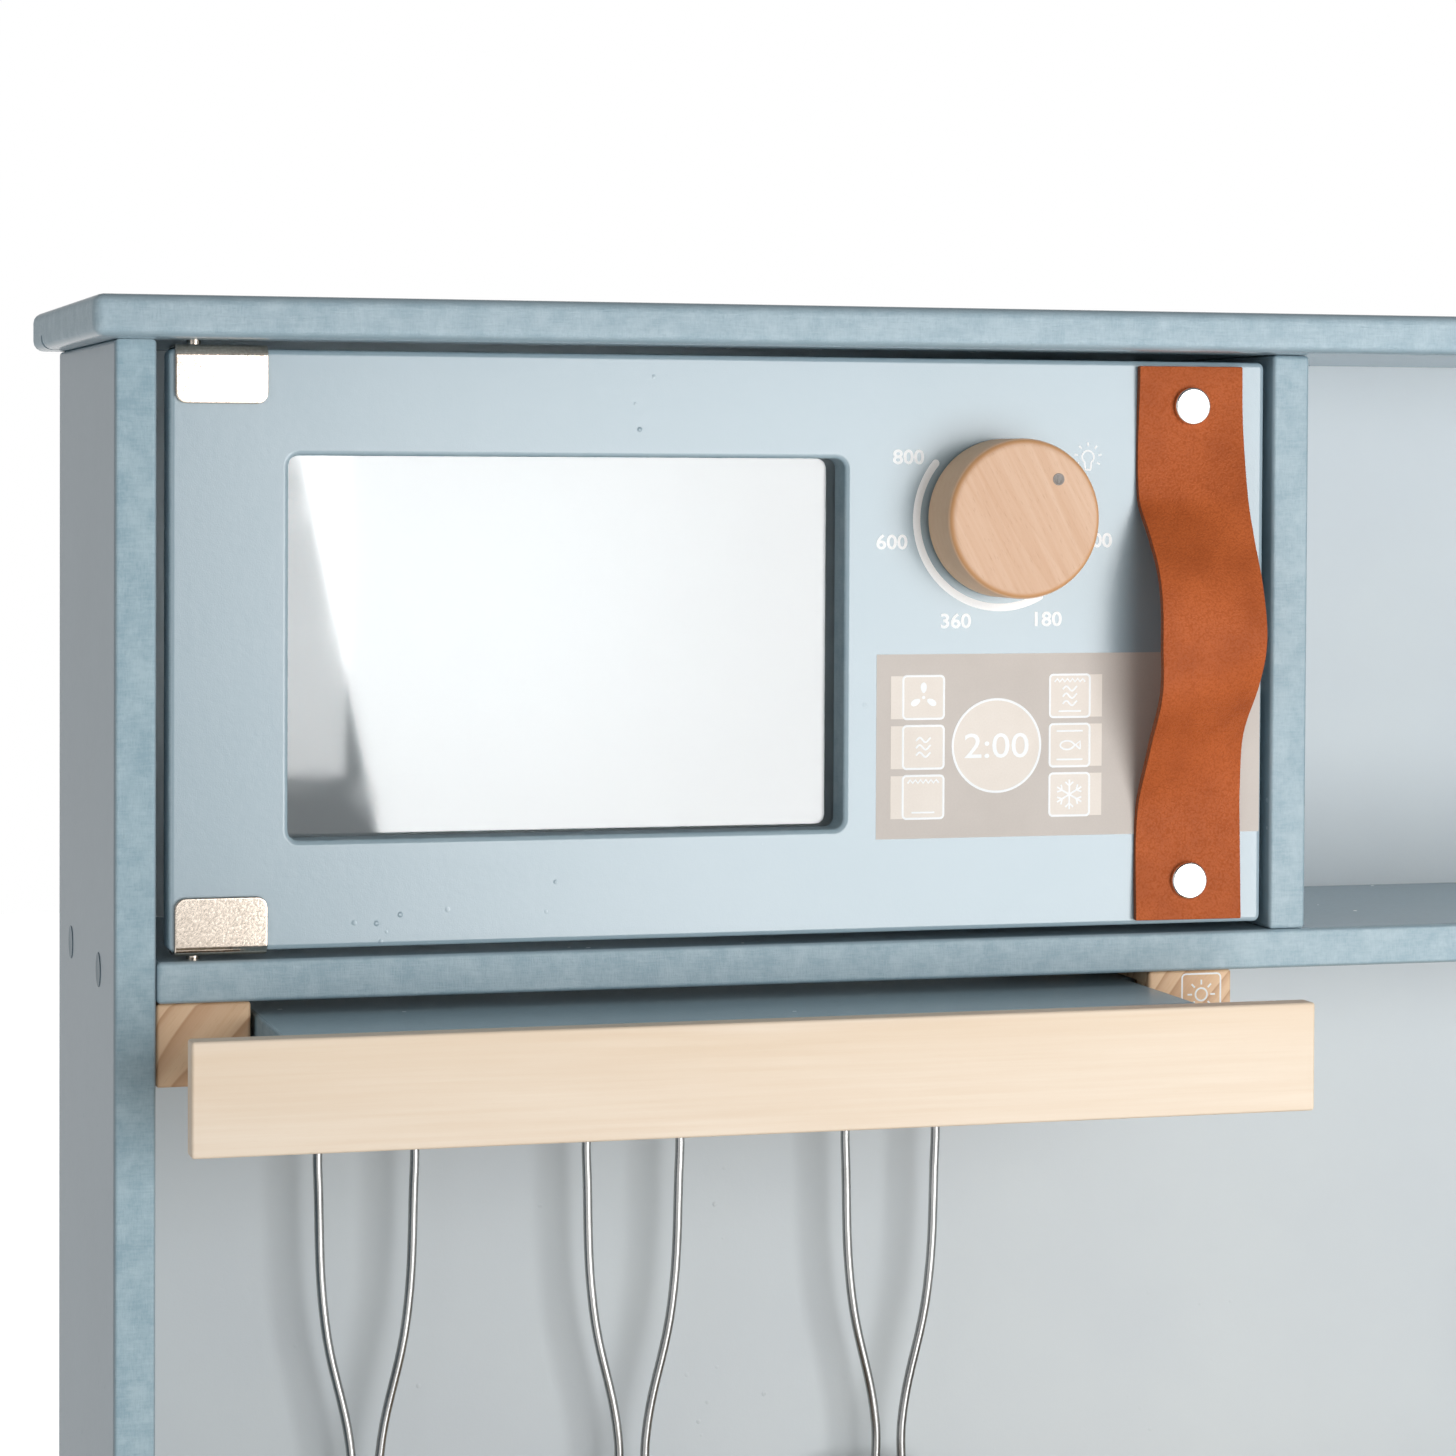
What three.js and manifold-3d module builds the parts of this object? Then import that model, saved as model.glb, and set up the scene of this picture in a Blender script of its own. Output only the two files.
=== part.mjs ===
// Wooden toy kitchen: a painted cabinet with a microwave, a pull-out hood, hanging utensils,
// a hob, a lift-out sink, an oven and a cupboard.
// Millimetres, +Z up, front faces -Y, origin at the bottom centre of the whole.
import * as THREE from 'three';
import { RoundedBoxGeometry } from 'three/addons/geometries/RoundedBoxGeometry.js';
import { mergeVertices } from 'three/addons/utils/BufferGeometryUtils.js';
import Module from 'manifold-3d';

const wasm = await Module();
wasm.setup();

// Clearances and finishing sizes
const seam = 0.1;
const play = 0.3;
const overrun = 1;
const weld_overlap = 0.5;
const merge_tolerance = 1e-4;
const board_edge = 1.2;

// Facet counts
const round_sides = 28;
const small_sides = 12;
const wire_sides = 8;
const corner_steps = 4;
const rim_steps = 3;
const bowl_steps = 5;
const edge_steps = 1;
const hook_steps = 10;
const loop_steps = 34;
const spout_steps = 18;
const screw_sides = 24;
const loop_crown_steps = 4;
const spout_crown_steps = 8;

// Cabinet
const board = 12;
const thin_panel = 3;
const left_bay_width = 340;
const right_bay_width = 340;
const upper_depth = 140;
const lower_depth = 290;
const microwave_bay_height = 176;
const worktop_height = 500;
const work_space_height = 250;
const toe_height = 60;
const toe_setback = 20;
const control_height = 60;
const upper_back_inset = 22;
const lower_back_inset = 8;
const groove_depth = 4;
const top_overhang_side = 8;
const top_overhang_front = 17;
const top_overhang_back = 4;
const top_round = 3;
const worktop_overhang = 17;
const step_fillet = 24;
const step_corner = 14;

// Doors
const hinge_side_gap = 3.5;
const free_side_gap = 2.5;
const end_gap = 2.5;
const door_setback = 1;
const door_corner = 2;
const door_edge = 1.5;

// Windows in the doors
const microwave_window_from_hinge = 34;
const microwave_window_from_free_edge = 134;
const microwave_window_from_top = 30;
const microwave_window_from_bottom = 31;
const oven_window_from_hinge = 50;
const oven_window_from_free_edge = 90;
const oven_window_from_top = 70;
const oven_window_from_bottom = 131;
const window_corner = 3;
const pane_thickness = 2;
const pane_overlap = 8;
const pane_rebate = 1.5;

// Pivot clips on the door corners
const clip_width = 26.5;
const clip_cover = 15.5;
const clip_wall = 1.2;
const clip_from_edge = 1.5;
const clip_corner = 3;
const clip_fold = 1;
const clip_edge = 0.4;
const pin_radius = 2;
const pin_from_edge = 7.7;
const pin_reach = 8;

// Leather strap handles and their screws
const strap_width = 33.5;
const strap_thickness = 2.4;
const strap_bow = 22;
const strap_from_edge = 25;
const strap_end_gap = 1.5;
const strap_screw_from_end = 12;
const strap_bow_from_screw = 22;
const strap_steps = 20;
const screw_head_radius = 5.7;
const screw_head_height = 1.8;
const screw_head_edge = 0.6;
const screw_shank_radius = 2;
const screw_shank_length = 9;

// Magnetic door catches
const catch_width = 9;
const catch_depth = 12;
const catch_height = 32;
const catch_edge = 1;

// Knobs
const knob_radius = 23.7;
const knob_thickness = 21;
const knob_rim = 3.5;
const knob_standoff = 0.6;
const knob_from_free_edge = 85;
const knob_from_top = 47.5;
const spindle_radius = 3;
const spindle_head_radius = 7;
const spindle_head_height = 2;
const spindle_depth_in_knob = 12;
const oven_knob_spacing = 150;

// Pull-out hood
const hood_from_divider = 11.5;
const hood_block_width = 27;
const hood_block_height = 24;
const hood_block_setback = 2;
const hood_block_rear_gap = 3;
const hood_slab_side_gap = 1.5;
const hood_slab_drop = 4;
const hood_slab_rear_gap = 5;
const hood_pulled_out = 42;
const hood_tongue_reach = 4.5;
const hood_tongue_start = 60;
const hood_groove_from_front = 10;
const hood_groove_bottom = 1.2;
const fascia_thickness = 8;
const fascia_height = 32;
const fascia_from_side = 3;
const fascia_from_divider = 6;
const fascia_edge = 1;

// Hook rail and hooks
const rail_thickness = 8;
const rail_height = 20;
const rail_beyond_hooks = 34;
const rail_drop = 34;
const rail_shift = -5.5;
const hook_pitch = 86;
const hook_plate_radius = 7;
const hook_plate_thickness = 1.6;
const hook_wire_radius = 1.8;
const hook_reach = 16;
const hook_lip = 6;
const hook_bend = 4;

// Wire-handled utensils
const utensil_wire_radius = 1.5;
const utensil_spacing = 30;
const utensil_worktop_gap = 26.1;
const utensil_neck_spacing = 9;
const utensil_from_rail = 8.5;
const handle_neck_share = 0.86;
const handle_middle_share = 0.5;
const handle_shoulder_share = 0.16;
const handle_middle_width_share = 0.86;
const utensil_blade_width = 48;
const utensil_blade_shoulder = 36;
const utensil_blade_length = 52;
const utensil_blade_thickness = 1.4;
const utensil_blade_corner = 6;
const slot_width = 3.2;
const slot_pitch = 8;
const slot_length = 30;
const slots = 4;
const ladle_radius = 24;
const ladle_depth = 11;
const ladle_wall = 1.2;

// Hob
const hob_side_gap = 30;
const hob_front_gap = 37;
const hob_thickness = 3;
const hob_corner = 8;
const hob_back_gap = 55;
const burner_large_radius = 52;
const burner_small_radius = 40;
const burner_thickness = 3;
const burner_hole_radius = 14;
const burner_spread = 132;
const hob_edge = 0.6;

// Sink and tap
const basin_side_gap = 45;
const basin_front_gap = 44;
const basin_rim_height = 1.6;
const basin_rim_lip = 11;
const basin_corner = 28;
const basin_bowl_depth = 60;
const basin_wall = 1.2;
const basin_drain_radius = 9;
const basin_back_gap = 58;
const cutout_gap = 1;
const tap_back_gap = 28;
const tap_flange_radius = 15;
const tap_flange_height = 4;
const tap_column_radius = 9;
const tap_column_height = 66;
const tap_socket_radius = 6.5;
const tap_socket_depth = 16;
const spout_radius = 6;
const spout_collar_radius = 8;
const spout_collar_height = 6;
const spout_rise = 24;
const spout_arc = 42;
const spout_drop = 14;
const spout_straight = 6;
const lever_height = 40;
const lever_hub_radius = 6;
const lever_hub_length = 13;
const lever_stick_radius = 2.2;
const lever_stick_length = 27;
const lever_pivot_radius = 2.5;
const lever_pivot_length = 5;

// Oven rack
const rack_height = 110;
const rack_wire_radius = 2;
const rack_front_gap = 22;
const rack_rear_gap = 33;
const rack_insert = 3;
const rack_bars = 9;

// Derived planes, in the cabinet's own frame: x from its middle, y from its rear edges, z from the floor
const inner_width = left_bay_width + board + right_bay_width;
const left_inner = -inner_width / 2;
const right_inner = inner_width / 2;
const divider_left = left_inner + left_bay_width;
const divider_right = divider_left + board;
const upper_front = -upper_depth;
const lower_front = -lower_depth;
const worktop_front = lower_front - worktop_overhang;
const shelf_under = worktop_height + work_space_height;
const shelf_top = shelf_under + board;
const side_height = shelf_top + microwave_bay_height;
const worktop_under = worktop_height - board;
const control_under = worktop_under - control_height;
const bottom_top = toe_height + board;
const upper_back_rear = -upper_back_inset;
const upper_back_front = upper_back_rear - thin_panel;
const lower_back_rear = -lower_back_inset;
const lower_back_front = lower_back_rear - thin_panel;
const left_bay_middle = (left_inner + divider_left) / 2;
const right_bay_middle = (divider_right + right_inner) / 2;

// Derived sizes of the fittings
const microwave_door_height = microwave_bay_height - 2 * end_gap;
const lower_door_height = control_under - bottom_top - 2 * end_gap;
const strap_length = microwave_door_height - 2 * strap_end_gap;
const strap_screw_spacing = strap_length - 2 * strap_screw_from_end;
const strap_bow_length = strap_screw_spacing - 2 * strap_bow_from_screw;
const hood_span = left_bay_width - hood_from_divider;
const hood_block_length = upper_back_front - upper_front - hood_block_setback - hood_block_rear_gap;
const hood_slab_length = hood_block_length - hood_slab_rear_gap;
const fascia_width = left_bay_width - fascia_from_side - fascia_from_divider;
const rail_length = 2 * (hook_pitch + rail_beyond_hooks);
const rail_front = upper_back_front - seam - rail_thickness;
const hook_z = shelf_under - rail_drop - rail_height / 2;
const loop_middle = hook_wire_radius + play + utensil_wire_radius - utensil_spacing / 2;
const neck_z = worktop_height + utensil_worktop_gap + utensil_blade_length - utensil_wire_radius - hook_z;
const utensil_handle_length = loop_middle - neck_z;
const hob_far = upper_back_front - hob_back_gap;
const hob_width = left_bay_width - 2 * hob_side_gap;
const hob_depth = hob_far - worktop_front - hob_front_gap;
const basin_far = upper_back_front - basin_back_gap;
const basin_rim_width = right_bay_width - 2 * basin_side_gap;
const basin_rim_depth = basin_far - worktop_front - basin_front_gap;
const rack_near = lower_front + rack_front_gap + rack_wire_radius;
const rack_far = lower_back_front - rack_rear_gap - rack_wire_radius;

// Materials
const paint = surface(0x92adb9, 0.45, 0);
const paint_pale = surface(0xc9d8df, 0.5, 0);
const beech = surface(0xdcb38a, 0.5, 0);
const pine = surface(0xe2c49a, 0.55, 0);
const poplar = surface(0xf0dcb8, 0.5, 0);
const leather = surface(0xb0602f, 0.6, 0);
const nickel = surface(0xd8d4ca, 0.3, 1);
const steel = surface(0xb9bcc0, 0.25, 1);
const acrylic = surface(0xe6edf0, 0.05, 0);
const graphite = surface(0x2c3033, 0.3, 0);
const white_plastic = surface(0xf2f2ef, 0.4, 0);

function surface(color, roughness, metalness) {
  return new THREE.MeshStandardMaterial({ color, roughness, metalness });
}

// Solid helpers
function signedVolume(geometry) {
  const place = geometry.getAttribute('position');
  const index = geometry.getIndex();
  const a = new THREE.Vector3();
  const b = new THREE.Vector3();
  const c = new THREE.Vector3();
  let volume = 0;
  for (let i = 0; i < index.count; i += 3) {
    a.fromBufferAttribute(place, index.getX(i));
    b.fromBufferAttribute(place, index.getX(i + 1));
    c.fromBufferAttribute(place, index.getX(i + 2));
    volume += a.dot(b.cross(c)) / 6;
  }
  return volume;
}

function closed(geometry) {
  const bare = geometry.clone();
  bare.deleteAttribute('normal');
  bare.deleteAttribute('uv');
  const merged = mergeVertices(bare, merge_tolerance);
  const kept = [];
  const index = merged.getIndex();
  for (let i = 0; i < index.count; i += 3) {
    const [p, q, r] = [index.getX(i), index.getX(i + 1), index.getX(i + 2)];
    if (p !== q && q !== r && r !== p) kept.push(p, q, r);
  }
  merged.setIndex(kept);
  if (signedVolume(merged) < 0) {
    for (let i = 0; i < kept.length; i += 3) [kept[i], kept[i + 1]] = [kept[i + 1], kept[i]];
    merged.setIndex(kept);
  }
  return merged;
}

function toSolid(geometry) {
  const body = closed(geometry);
  const vertProperties = new Float32Array(body.getAttribute('position').array);
  const triVerts = new Uint32Array(body.getIndex().array);
  return new wasm.Manifold(new wasm.Mesh({ numProp: 3, vertProperties, triVerts }));
}

function toGeometry(solid) {
  const mesh = solid.getMesh();
  const geometry = new THREE.BufferGeometry();
  geometry.setAttribute('position', new THREE.BufferAttribute(mesh.vertProperties, 3));
  geometry.setIndex(new THREE.BufferAttribute(mesh.triVerts, 1));
  return geometry;
}

function carve(body, ...cutters) {
  return toGeometry(cutters.reduce((solid, cutter) => solid.subtract(toSolid(cutter)), toSolid(body)));
}

function weld(...pieces) {
  const [first, ...others] = pieces.map(toSolid);
  return toGeometry(others.reduce((solid, other) => solid.add(other), first));
}

function piece(name, geometry, material) {
  const body = closed(geometry);
  body.computeVertexNormals();
  const mesh = new THREE.Mesh(body, material);
  mesh.name = name;
  return mesh;
}

// Shape helpers
function block([x0, x1], [y0, y1], [z0, z1], edge = 0) {
  const size = [x1 - x0, y1 - y0, z1 - z0];
  const box = edge > 0
    ? new RoundedBoxGeometry(...size, edge_steps, edge)
    : new THREE.BoxGeometry(...size);
  return box.translate((x0 + x1) / 2, (y0 + y1) / 2, (z0 + z1) / 2);
}

function rod(radius, from, to, sides = small_sides) {
  const along = new THREE.Vector3().subVectors(to, from);
  const turn = new THREE.Quaternion()
    .setFromUnitVectors(new THREE.Vector3(0, 1, 0), along.clone().normalize());
  const middle = new THREE.Vector3().addVectors(from, to).divideScalar(2);
  return new THREE.CylinderGeometry(radius, radius, along.length(), sides)
    .applyQuaternion(turn)
    .translate(middle.x, middle.y, middle.z);
}

function turned(profile, sides = round_sides) {
  return new THREE.LatheGeometry(profile.map(([r, y]) => new THREE.Vector2(r, y)), sides);
}

function turnedUpright(profile, sides = round_sides) {
  return turned(profile, sides).rotateX(Math.PI / 2);
}

function roundedRect(x0, x1, y0, y1, corners) {
  const [a, b, c, d] = Array.isArray(corners) ? corners : [corners, corners, corners, corners];
  const shape = new THREE.Shape();
  shape.moveTo(x0 + a, y0);
  shape.lineTo(x1 - b, y0);
  shape.absarc(x1 - b, y0 + b, b, -Math.PI / 2, 0);
  shape.lineTo(x1, y1 - c);
  shape.absarc(x1 - c, y1 - c, c, 0, Math.PI / 2);
  shape.lineTo(x0 + d, y1);
  shape.absarc(x0 + d, y1 - d, d, Math.PI / 2, Math.PI);
  shape.lineTo(x0, y0 + a);
  shape.absarc(x0 + a, y0 + a, a, Math.PI, Math.PI * 1.5);
  return shape;
}

function extruded(shape, thickness, edge = 0) {
  return new THREE.ExtrudeGeometry(shape, {
    depth: thickness - 2 * edge,
    curveSegments: corner_steps / 2,
    bevelEnabled: edge > 0,
    bevelThickness: edge,
    bevelSize: edge,
    bevelOffset: -edge,
    bevelSegments: edge_steps,
  }).translate(0, 0, edge);
}

// A plate whose outline lies in the XZ plane and whose thickness runs from y = front towards the back
function upright(shape, front, thickness, edge = 0) {
  return extruded(shape, thickness, edge).rotateX(Math.PI / 2).translate(0, front + thickness, 0);
}

// A plate whose outline lies in the YZ plane and whose thickness runs from x = left to the right
function sideways(shape, left, thickness, edge = 0) {
  const turn = new THREE.Matrix4().makeBasis(
    new THREE.Vector3(0, 1, 0),
    new THREE.Vector3(0, 0, 1),
    new THREE.Vector3(1, 0, 0),
  );
  return extruded(shape, thickness, edge).applyMatrix4(turn).translate(left, 0, 0);
}

// A round wire along a smooth path
function wire(points, radius, steps, sides = wire_sides) {
  const section = new THREE.Shape();
  section.absarc(0, 0, radius, 0, Math.PI * 2);
  return new THREE.ExtrudeGeometry(section, {
    steps,
    curveSegments: sides / 2,
    bevelEnabled: false,
    extrudePath: new THREE.CatmullRomCurve3(points),
  });
}

function at(x, y, z) {
  return new THREE.Vector3(x, y, z);
}

// The angles that divide a half turn into equal steps, without its two ends
function halfTurn(steps) {
  return Array.from({ length: steps - 1 }, (_, i) => Math.PI * (i + 1) / steps);
}

// Cabinet boards
function sideOutline() {
  const shape = new THREE.Shape();
  shape.moveTo(0, 0);
  shape.lineTo(0, side_height - seam);
  shape.lineTo(upper_front, side_height - seam);
  shape.lineTo(upper_front, worktop_height + step_fillet);
  shape.absarc(upper_front - step_fillet, worktop_height + step_fillet, step_fillet, 0, -Math.PI / 2, true);
  shape.lineTo(lower_front + step_corner, worktop_height);
  shape.absarc(lower_front + step_corner, worktop_height - step_corner, step_corner, Math.PI / 2, Math.PI);
  shape.lineTo(lower_front, 0);
  return shape;
}

// side is -1 for the left board and 1 for the right one
function sidePanel(name, side) {
  const inner = side * inner_width / 2 + side * seam;
  const outer = side * (inner_width / 2 + board);
  const reach = inner - side * seam + side * (groove_depth + play);
  const into = [inner - side * overrun, reach].sort((a, b) => a - b);
  const splash_groove = block(
    into,
    [upper_back_front - play, upper_back_rear + play],
    [worktop_height - groove_depth - play, side_height + overrun],
  );
  const lower_groove = block(
    into,
    [lower_back_front - play, lower_back_rear + play],
    [toe_height, worktop_under],
  );
  const panel = sideways(sideOutline(), Math.min(inner, outer), board - seam, board_edge);
  const cutters = [splash_groove, lower_groove];
  if (side < 0) cutters.push(rackGroove(into));
  return piece(name, carve(panel, ...cutters), paint);
}

function rackGroove(reach) {
  const middle = bottom_top + rack_height;
  return block(
    reach,
    [lower_front + rack_front_gap - play, lower_back_front + overrun],
    [middle - rack_wire_radius - play, middle + rack_wire_radius + play],
  );
}

function topBoard() {
  const slab = block(
    [left_inner - board - top_overhang_side, right_inner + board + top_overhang_side],
    [upper_front - top_overhang_front, top_overhang_back],
    [side_height, side_height + board],
    top_round,
  );
  const groove = block(
    [left_inner - board - top_overhang_side - overrun, right_inner + board + top_overhang_side + overrun],
    [upper_back_front - play, upper_back_rear + play],
    [side_height - overrun, side_height + groove_depth + play],
  );
  return piece('top_board', carve(slab, groove, ...pinHoles('up', upper_front, side_height)), paint);
}

function midShelf() {
  const slab = block(
    [left_inner + seam, right_inner - seam],
    [upper_front, 0],
    [shelf_under, shelf_top],
    board_edge,
  );
  const grooves = [shelf_top, shelf_under].map((level) => block(
    [left_inner - overrun, right_inner + overrun],
    [upper_back_front - play, upper_back_rear + play],
    [level - groove_depth - play, level + groove_depth + play],
  ));
  return piece('mid_shelf', carve(slab, ...grooves, ...pinHoles('down', upper_front, shelf_top)), paint);
}

function upperDivider() {
  return piece('upper_divider', block(
    [divider_left, divider_right],
    [upper_front, upper_back_front - seam],
    [shelf_top + seam, side_height - seam],
    board_edge,
  ), paint);
}

function backPanel(name, front, [z0, z1], material) {
  return piece(name, block(
    [left_inner - groove_depth, right_inner + groove_depth],
    [front, front + thin_panel],
    [z0, z1],
  ), material);
}

function worktop() {
  const slab = block(
    [left_inner + seam, right_inner - seam],
    [worktop_front, 0],
    [worktop_under, worktop_height],
    board_edge,
  );
  const groove = block(
    [left_inner - overrun, right_inner + overrun],
    [upper_back_front - play, upper_back_rear + play],
    [worktop_height - groove_depth - play, worktop_height + overrun],
  );
  const hole = extruded(basinOutline(basin_rim_lip - cutout_gap), board + 2 * overrun)
    .translate(0, 0, worktop_under - overrun);
  return piece('worktop', carve(slab, groove, hole), pine);
}

function bottomBoard() {
  const slab = block(
    [left_inner + seam, right_inner - seam],
    [lower_front, lower_back_front - seam],
    [toe_height, bottom_top],
    board_edge,
  );
  return piece('bottom_board', carve(slab, ...pinHoles('down', lower_front, bottom_top)), paint);
}

function toeBoard() {
  return piece('toe_board', block(
    [left_inner + seam, right_inner - seam],
    [lower_front + toe_setback, lower_front + toe_setback + board],
    [0, toe_height - seam],
    board_edge,
  ), paint);
}

function controlBoard() {
  const front = lower_front + door_setback;
  const slab = block(
    [left_inner + seam, right_inner - seam],
    [front, front + board],
    [control_under, worktop_under - seam],
    board_edge,
  );
  const bores = ovenKnobPlaces().map(([x, z]) => rod(
    spindle_radius + play,
    at(x, front - overrun, z),
    at(x, front + board + overrun, z),
  ));
  const pins = pinHoles('up', lower_front, control_under);
  return piece('control_board', carve(slab, ...bores, ...pins), paint);
}

function lowerDivider() {
  const slab = block(
    [divider_left, divider_right],
    [lower_front, lower_back_front - seam],
    [bottom_top + seam, worktop_under - seam],
    board_edge,
  );
  const notch = block(
    [divider_left - overrun, divider_right + overrun],
    [lower_front - overrun, lower_front + door_setback + board + seam],
    [control_under - seam, worktop_height],
  );
  const reach = [divider_left - overrun, divider_left + groove_depth + play];
  return piece('lower_divider', carve(slab, notch, rackGroove(reach)), paint);
}

// Bores that the door pins turn in: under a board above the doors, or in the top of one below them
function pinHoles(way, front, level) {
  const doors = front === upper_front ? [1] : [1, -1];
  const depth = pin_reach + overrun + play;
  const y = front + door_setback + board / 2;
  return doors.map((hinge) => {
    const x = pinX(hinge);
    return way === 'up'
      ? rod(pin_radius + play, at(x, y, level - overrun), at(x, y, level + depth))
      : rod(pin_radius + play, at(x, y, level - depth), at(x, y, level + overrun));
  });
}

// hinge is 1 where a door hangs on its left edge and -1 where it hangs on its right one
function pinX(hinge) {
  return hinge > 0
    ? left_inner + hinge_side_gap + pin_from_edge
    : right_inner - hinge_side_gap - pin_from_edge;
}

// Doors, in a group whose origin is the hinge edge's lower front corner; u runs to the free edge
function span(hinge, u0, u1) {
  return hinge > 0 ? [u0, u1] : [-u1, -u0];
}

function doorPlate(name, hinge, width, height, opening, bores) {
  const shape = roundedRect(...span(hinge, 0, width), 0, height, door_corner);
  const cutters = [...bores];
  if (opening) {
    const [x0, x1] = span(hinge, opening.u, opening.u + opening.width);
    shape.holes.push(roundedRect(x0, x1, opening.z, opening.z + opening.height, window_corner));
    cutters.push(block(
      [x0 - pane_overlap - seam, x1 + pane_overlap + seam],
      [board - pane_rebate, board + overrun],
      [opening.z - pane_overlap - seam, opening.z + opening.height + pane_overlap + seam],
    ));
  }
  return piece(name, carve(upright(shape, 0, board, door_edge), ...cutters), paint);
}

function windowPane(name, hinge, opening) {
  const [x0, x1] = span(hinge, opening.u - pane_overlap, opening.u + opening.width + pane_overlap);
  const shape = roundedRect(
    x0,
    x1,
    opening.z - pane_overlap,
    opening.z + opening.height + pane_overlap,
    window_corner,
  );
  return piece(name, upright(shape, board - pane_rebate + seam, pane_thickness), acrylic);
}

// A folded sheet clip round the door's edge, with its pivot pin; end is 1 at the top and -1 at the bottom
function pivotClip(name, hinge, end, height) {
  const [x0, x1] = span(hinge, clip_from_edge, clip_from_edge + clip_width);
  const top = seam + clip_wall;
  const outline = roundedRect(x0, x1, -clip_cover, top, [clip_corner, clip_corner, clip_fold, clip_fold]);
  const shell = upright(outline, -clip_wall - seam, board + 2 * (clip_wall + seam), clip_edge);
  const slot = block([x0 - overrun, x1 + overrun], [-seam, board + seam], [-clip_cover - overrun, seam]);
  const [x] = span(hinge, pin_from_edge, pin_from_edge);
  const pin = rod(pin_radius, at(x, board / 2, top - weld_overlap), at(x, board / 2, end_gap + pin_reach));
  const clip = weld(carve(shell, slot), pin);
  const placed = end > 0 ? clip : clip.scale(1, 1, -1);
  return piece(name, placed.translate(0, 0, end > 0 ? height : 0), nickel);
}

function strapOutline() {
  const half = strap_length / 2;
  const near = [];
  const far = [];
  const bulge = (z) => (1 + Math.cos(2 * Math.PI * z / strap_bow_length)) / 2;
  const slope = (z) => -Math.sin(2 * Math.PI * z / strap_bow_length) * Math.PI / strap_bow_length;
  for (let i = 0; i <= strap_steps; i += 1) {
    const z = strap_bow_length * (i / strap_steps - 1 / 2);
    const out = strap_bow * bulge(z);
    const normal = new THREE.Vector2(1, -strap_bow * slope(z)).normalize().multiplyScalar(strap_thickness);
    near.push(new THREE.Vector2(-seam - out, z));
    far.push(new THREE.Vector2(-seam - out - normal.x, z + normal.y));
  }
  return new THREE.Shape([
    new THREE.Vector2(-seam, -half),
    ...near,
    new THREE.Vector2(-seam, half),
    new THREE.Vector2(-seam - strap_thickness, half),
    ...far.reverse(),
    new THREE.Vector2(-seam - strap_thickness, -half),
  ]);
}

function strapHandle(name, hinge, width, height) {
  const middle = width - strap_from_edge;
  const [x0] = span(hinge, middle - strap_width / 2, middle + strap_width / 2);
  const strap = sideways(strapOutline(), x0, strap_width).translate(0, 0, height / 2);
  const bores = strapScrewPlaces(hinge, width, height).map(([x, z]) => rod(
    screw_shank_radius + play,
    at(x, -strap_thickness - overrun, z),
    at(x, overrun, z),
  ));
  return piece(name, carve(strap, ...bores), leather);
}

function strapScrewPlaces(hinge, width, height) {
  const [x] = span(hinge, width - strap_from_edge, width - strap_from_edge);
  return [1, -1].map((end) => [x, height / 2 + end * strap_screw_spacing / 2]);
}

function strapScrew(name, [x, z]) {
  const face = -2 * seam - strap_thickness;
  const profile = [
    [0, screw_shank_length],
    [screw_shank_radius, screw_shank_length],
    [screw_shank_radius, face],
    [screw_head_radius, face],
    [screw_head_radius, face - screw_head_height + screw_head_edge],
    [screw_head_radius - screw_head_edge, face - screw_head_height],
    [0, face - screw_head_height],
  ];
  return piece(name, turned(profile, screw_sides).translate(x, 0, z), nickel);
}

function screwBores(places) {
  return places.map(([x, z]) => rod(
    screw_shank_radius + play,
    at(x, -overrun, z),
    at(x, screw_shank_length + play, z),
  ));
}

function doorGroup(label, hinge, width, height, opening, extra_bores) {
  const group = new THREE.Group();
  const places = strapScrewPlaces(hinge, width, height);
  group.add(
    doorPlate(`${label}_door`, hinge, width, height, opening, [...screwBores(places), ...extra_bores]),
    pivotClip(`${label}_hinge_top`, hinge, 1, height),
    pivotClip(`${label}_hinge_bottom`, hinge, -1, height),
    strapHandle(`${label}_strap`, hinge, width, height),
    strapScrew(`${label}_strap_screw_top`, places[0]),
    strapScrew(`${label}_strap_screw_bottom`, places[1]),
  );
  if (opening) group.add(windowPane(`${label}_window`, hinge, opening));
  return group;
}

// The opening that named margins leave in a door: at its hinge edge, free edge, top and bottom
function windowOpening(width, height, [hinge_side, free_side, top, bottom]) {
  return {
    u: hinge_side,
    z: bottom,
    width: width - hinge_side - free_side,
    height: height - top - bottom,
  };
}

function microwave() {
  const width = left_bay_width - hinge_side_gap - free_side_gap;
  const height = microwave_door_height;
  const opening = windowOpening(width, height, [
    microwave_window_from_hinge,
    microwave_window_from_free_edge,
    microwave_window_from_top,
    microwave_window_from_bottom,
  ]);
  const [x, z] = [width - knob_from_free_edge, height - knob_from_top];
  const bore = rod(spindle_radius + play, at(x, -overrun, z), at(x, board + overrun, z));
  const group = doorGroup('microwave', 1, width, height, opening, [bore]);
  group.add(
    piece('microwave_knob', knob([x, z], 0, spindle_radius + seam), beech),
    piece('microwave_knob_spindle', spindle([x, z], 0, board), steel),
  );
  group.position.set(left_inner + hinge_side_gap, upper_front + door_setback, shelf_top + end_gap);
  return group;
}

function ovenDoor() {
  const width = left_bay_width - hinge_side_gap - free_side_gap;
  const height = lower_door_height;
  const opening = windowOpening(width, height, [
    oven_window_from_hinge,
    oven_window_from_free_edge,
    oven_window_from_top,
    oven_window_from_bottom,
  ]);
  const group = doorGroup('oven', 1, width, height, opening, []);
  group.position.set(left_inner + hinge_side_gap, lower_front + door_setback, bottom_top + end_gap);
  return group;
}

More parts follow.
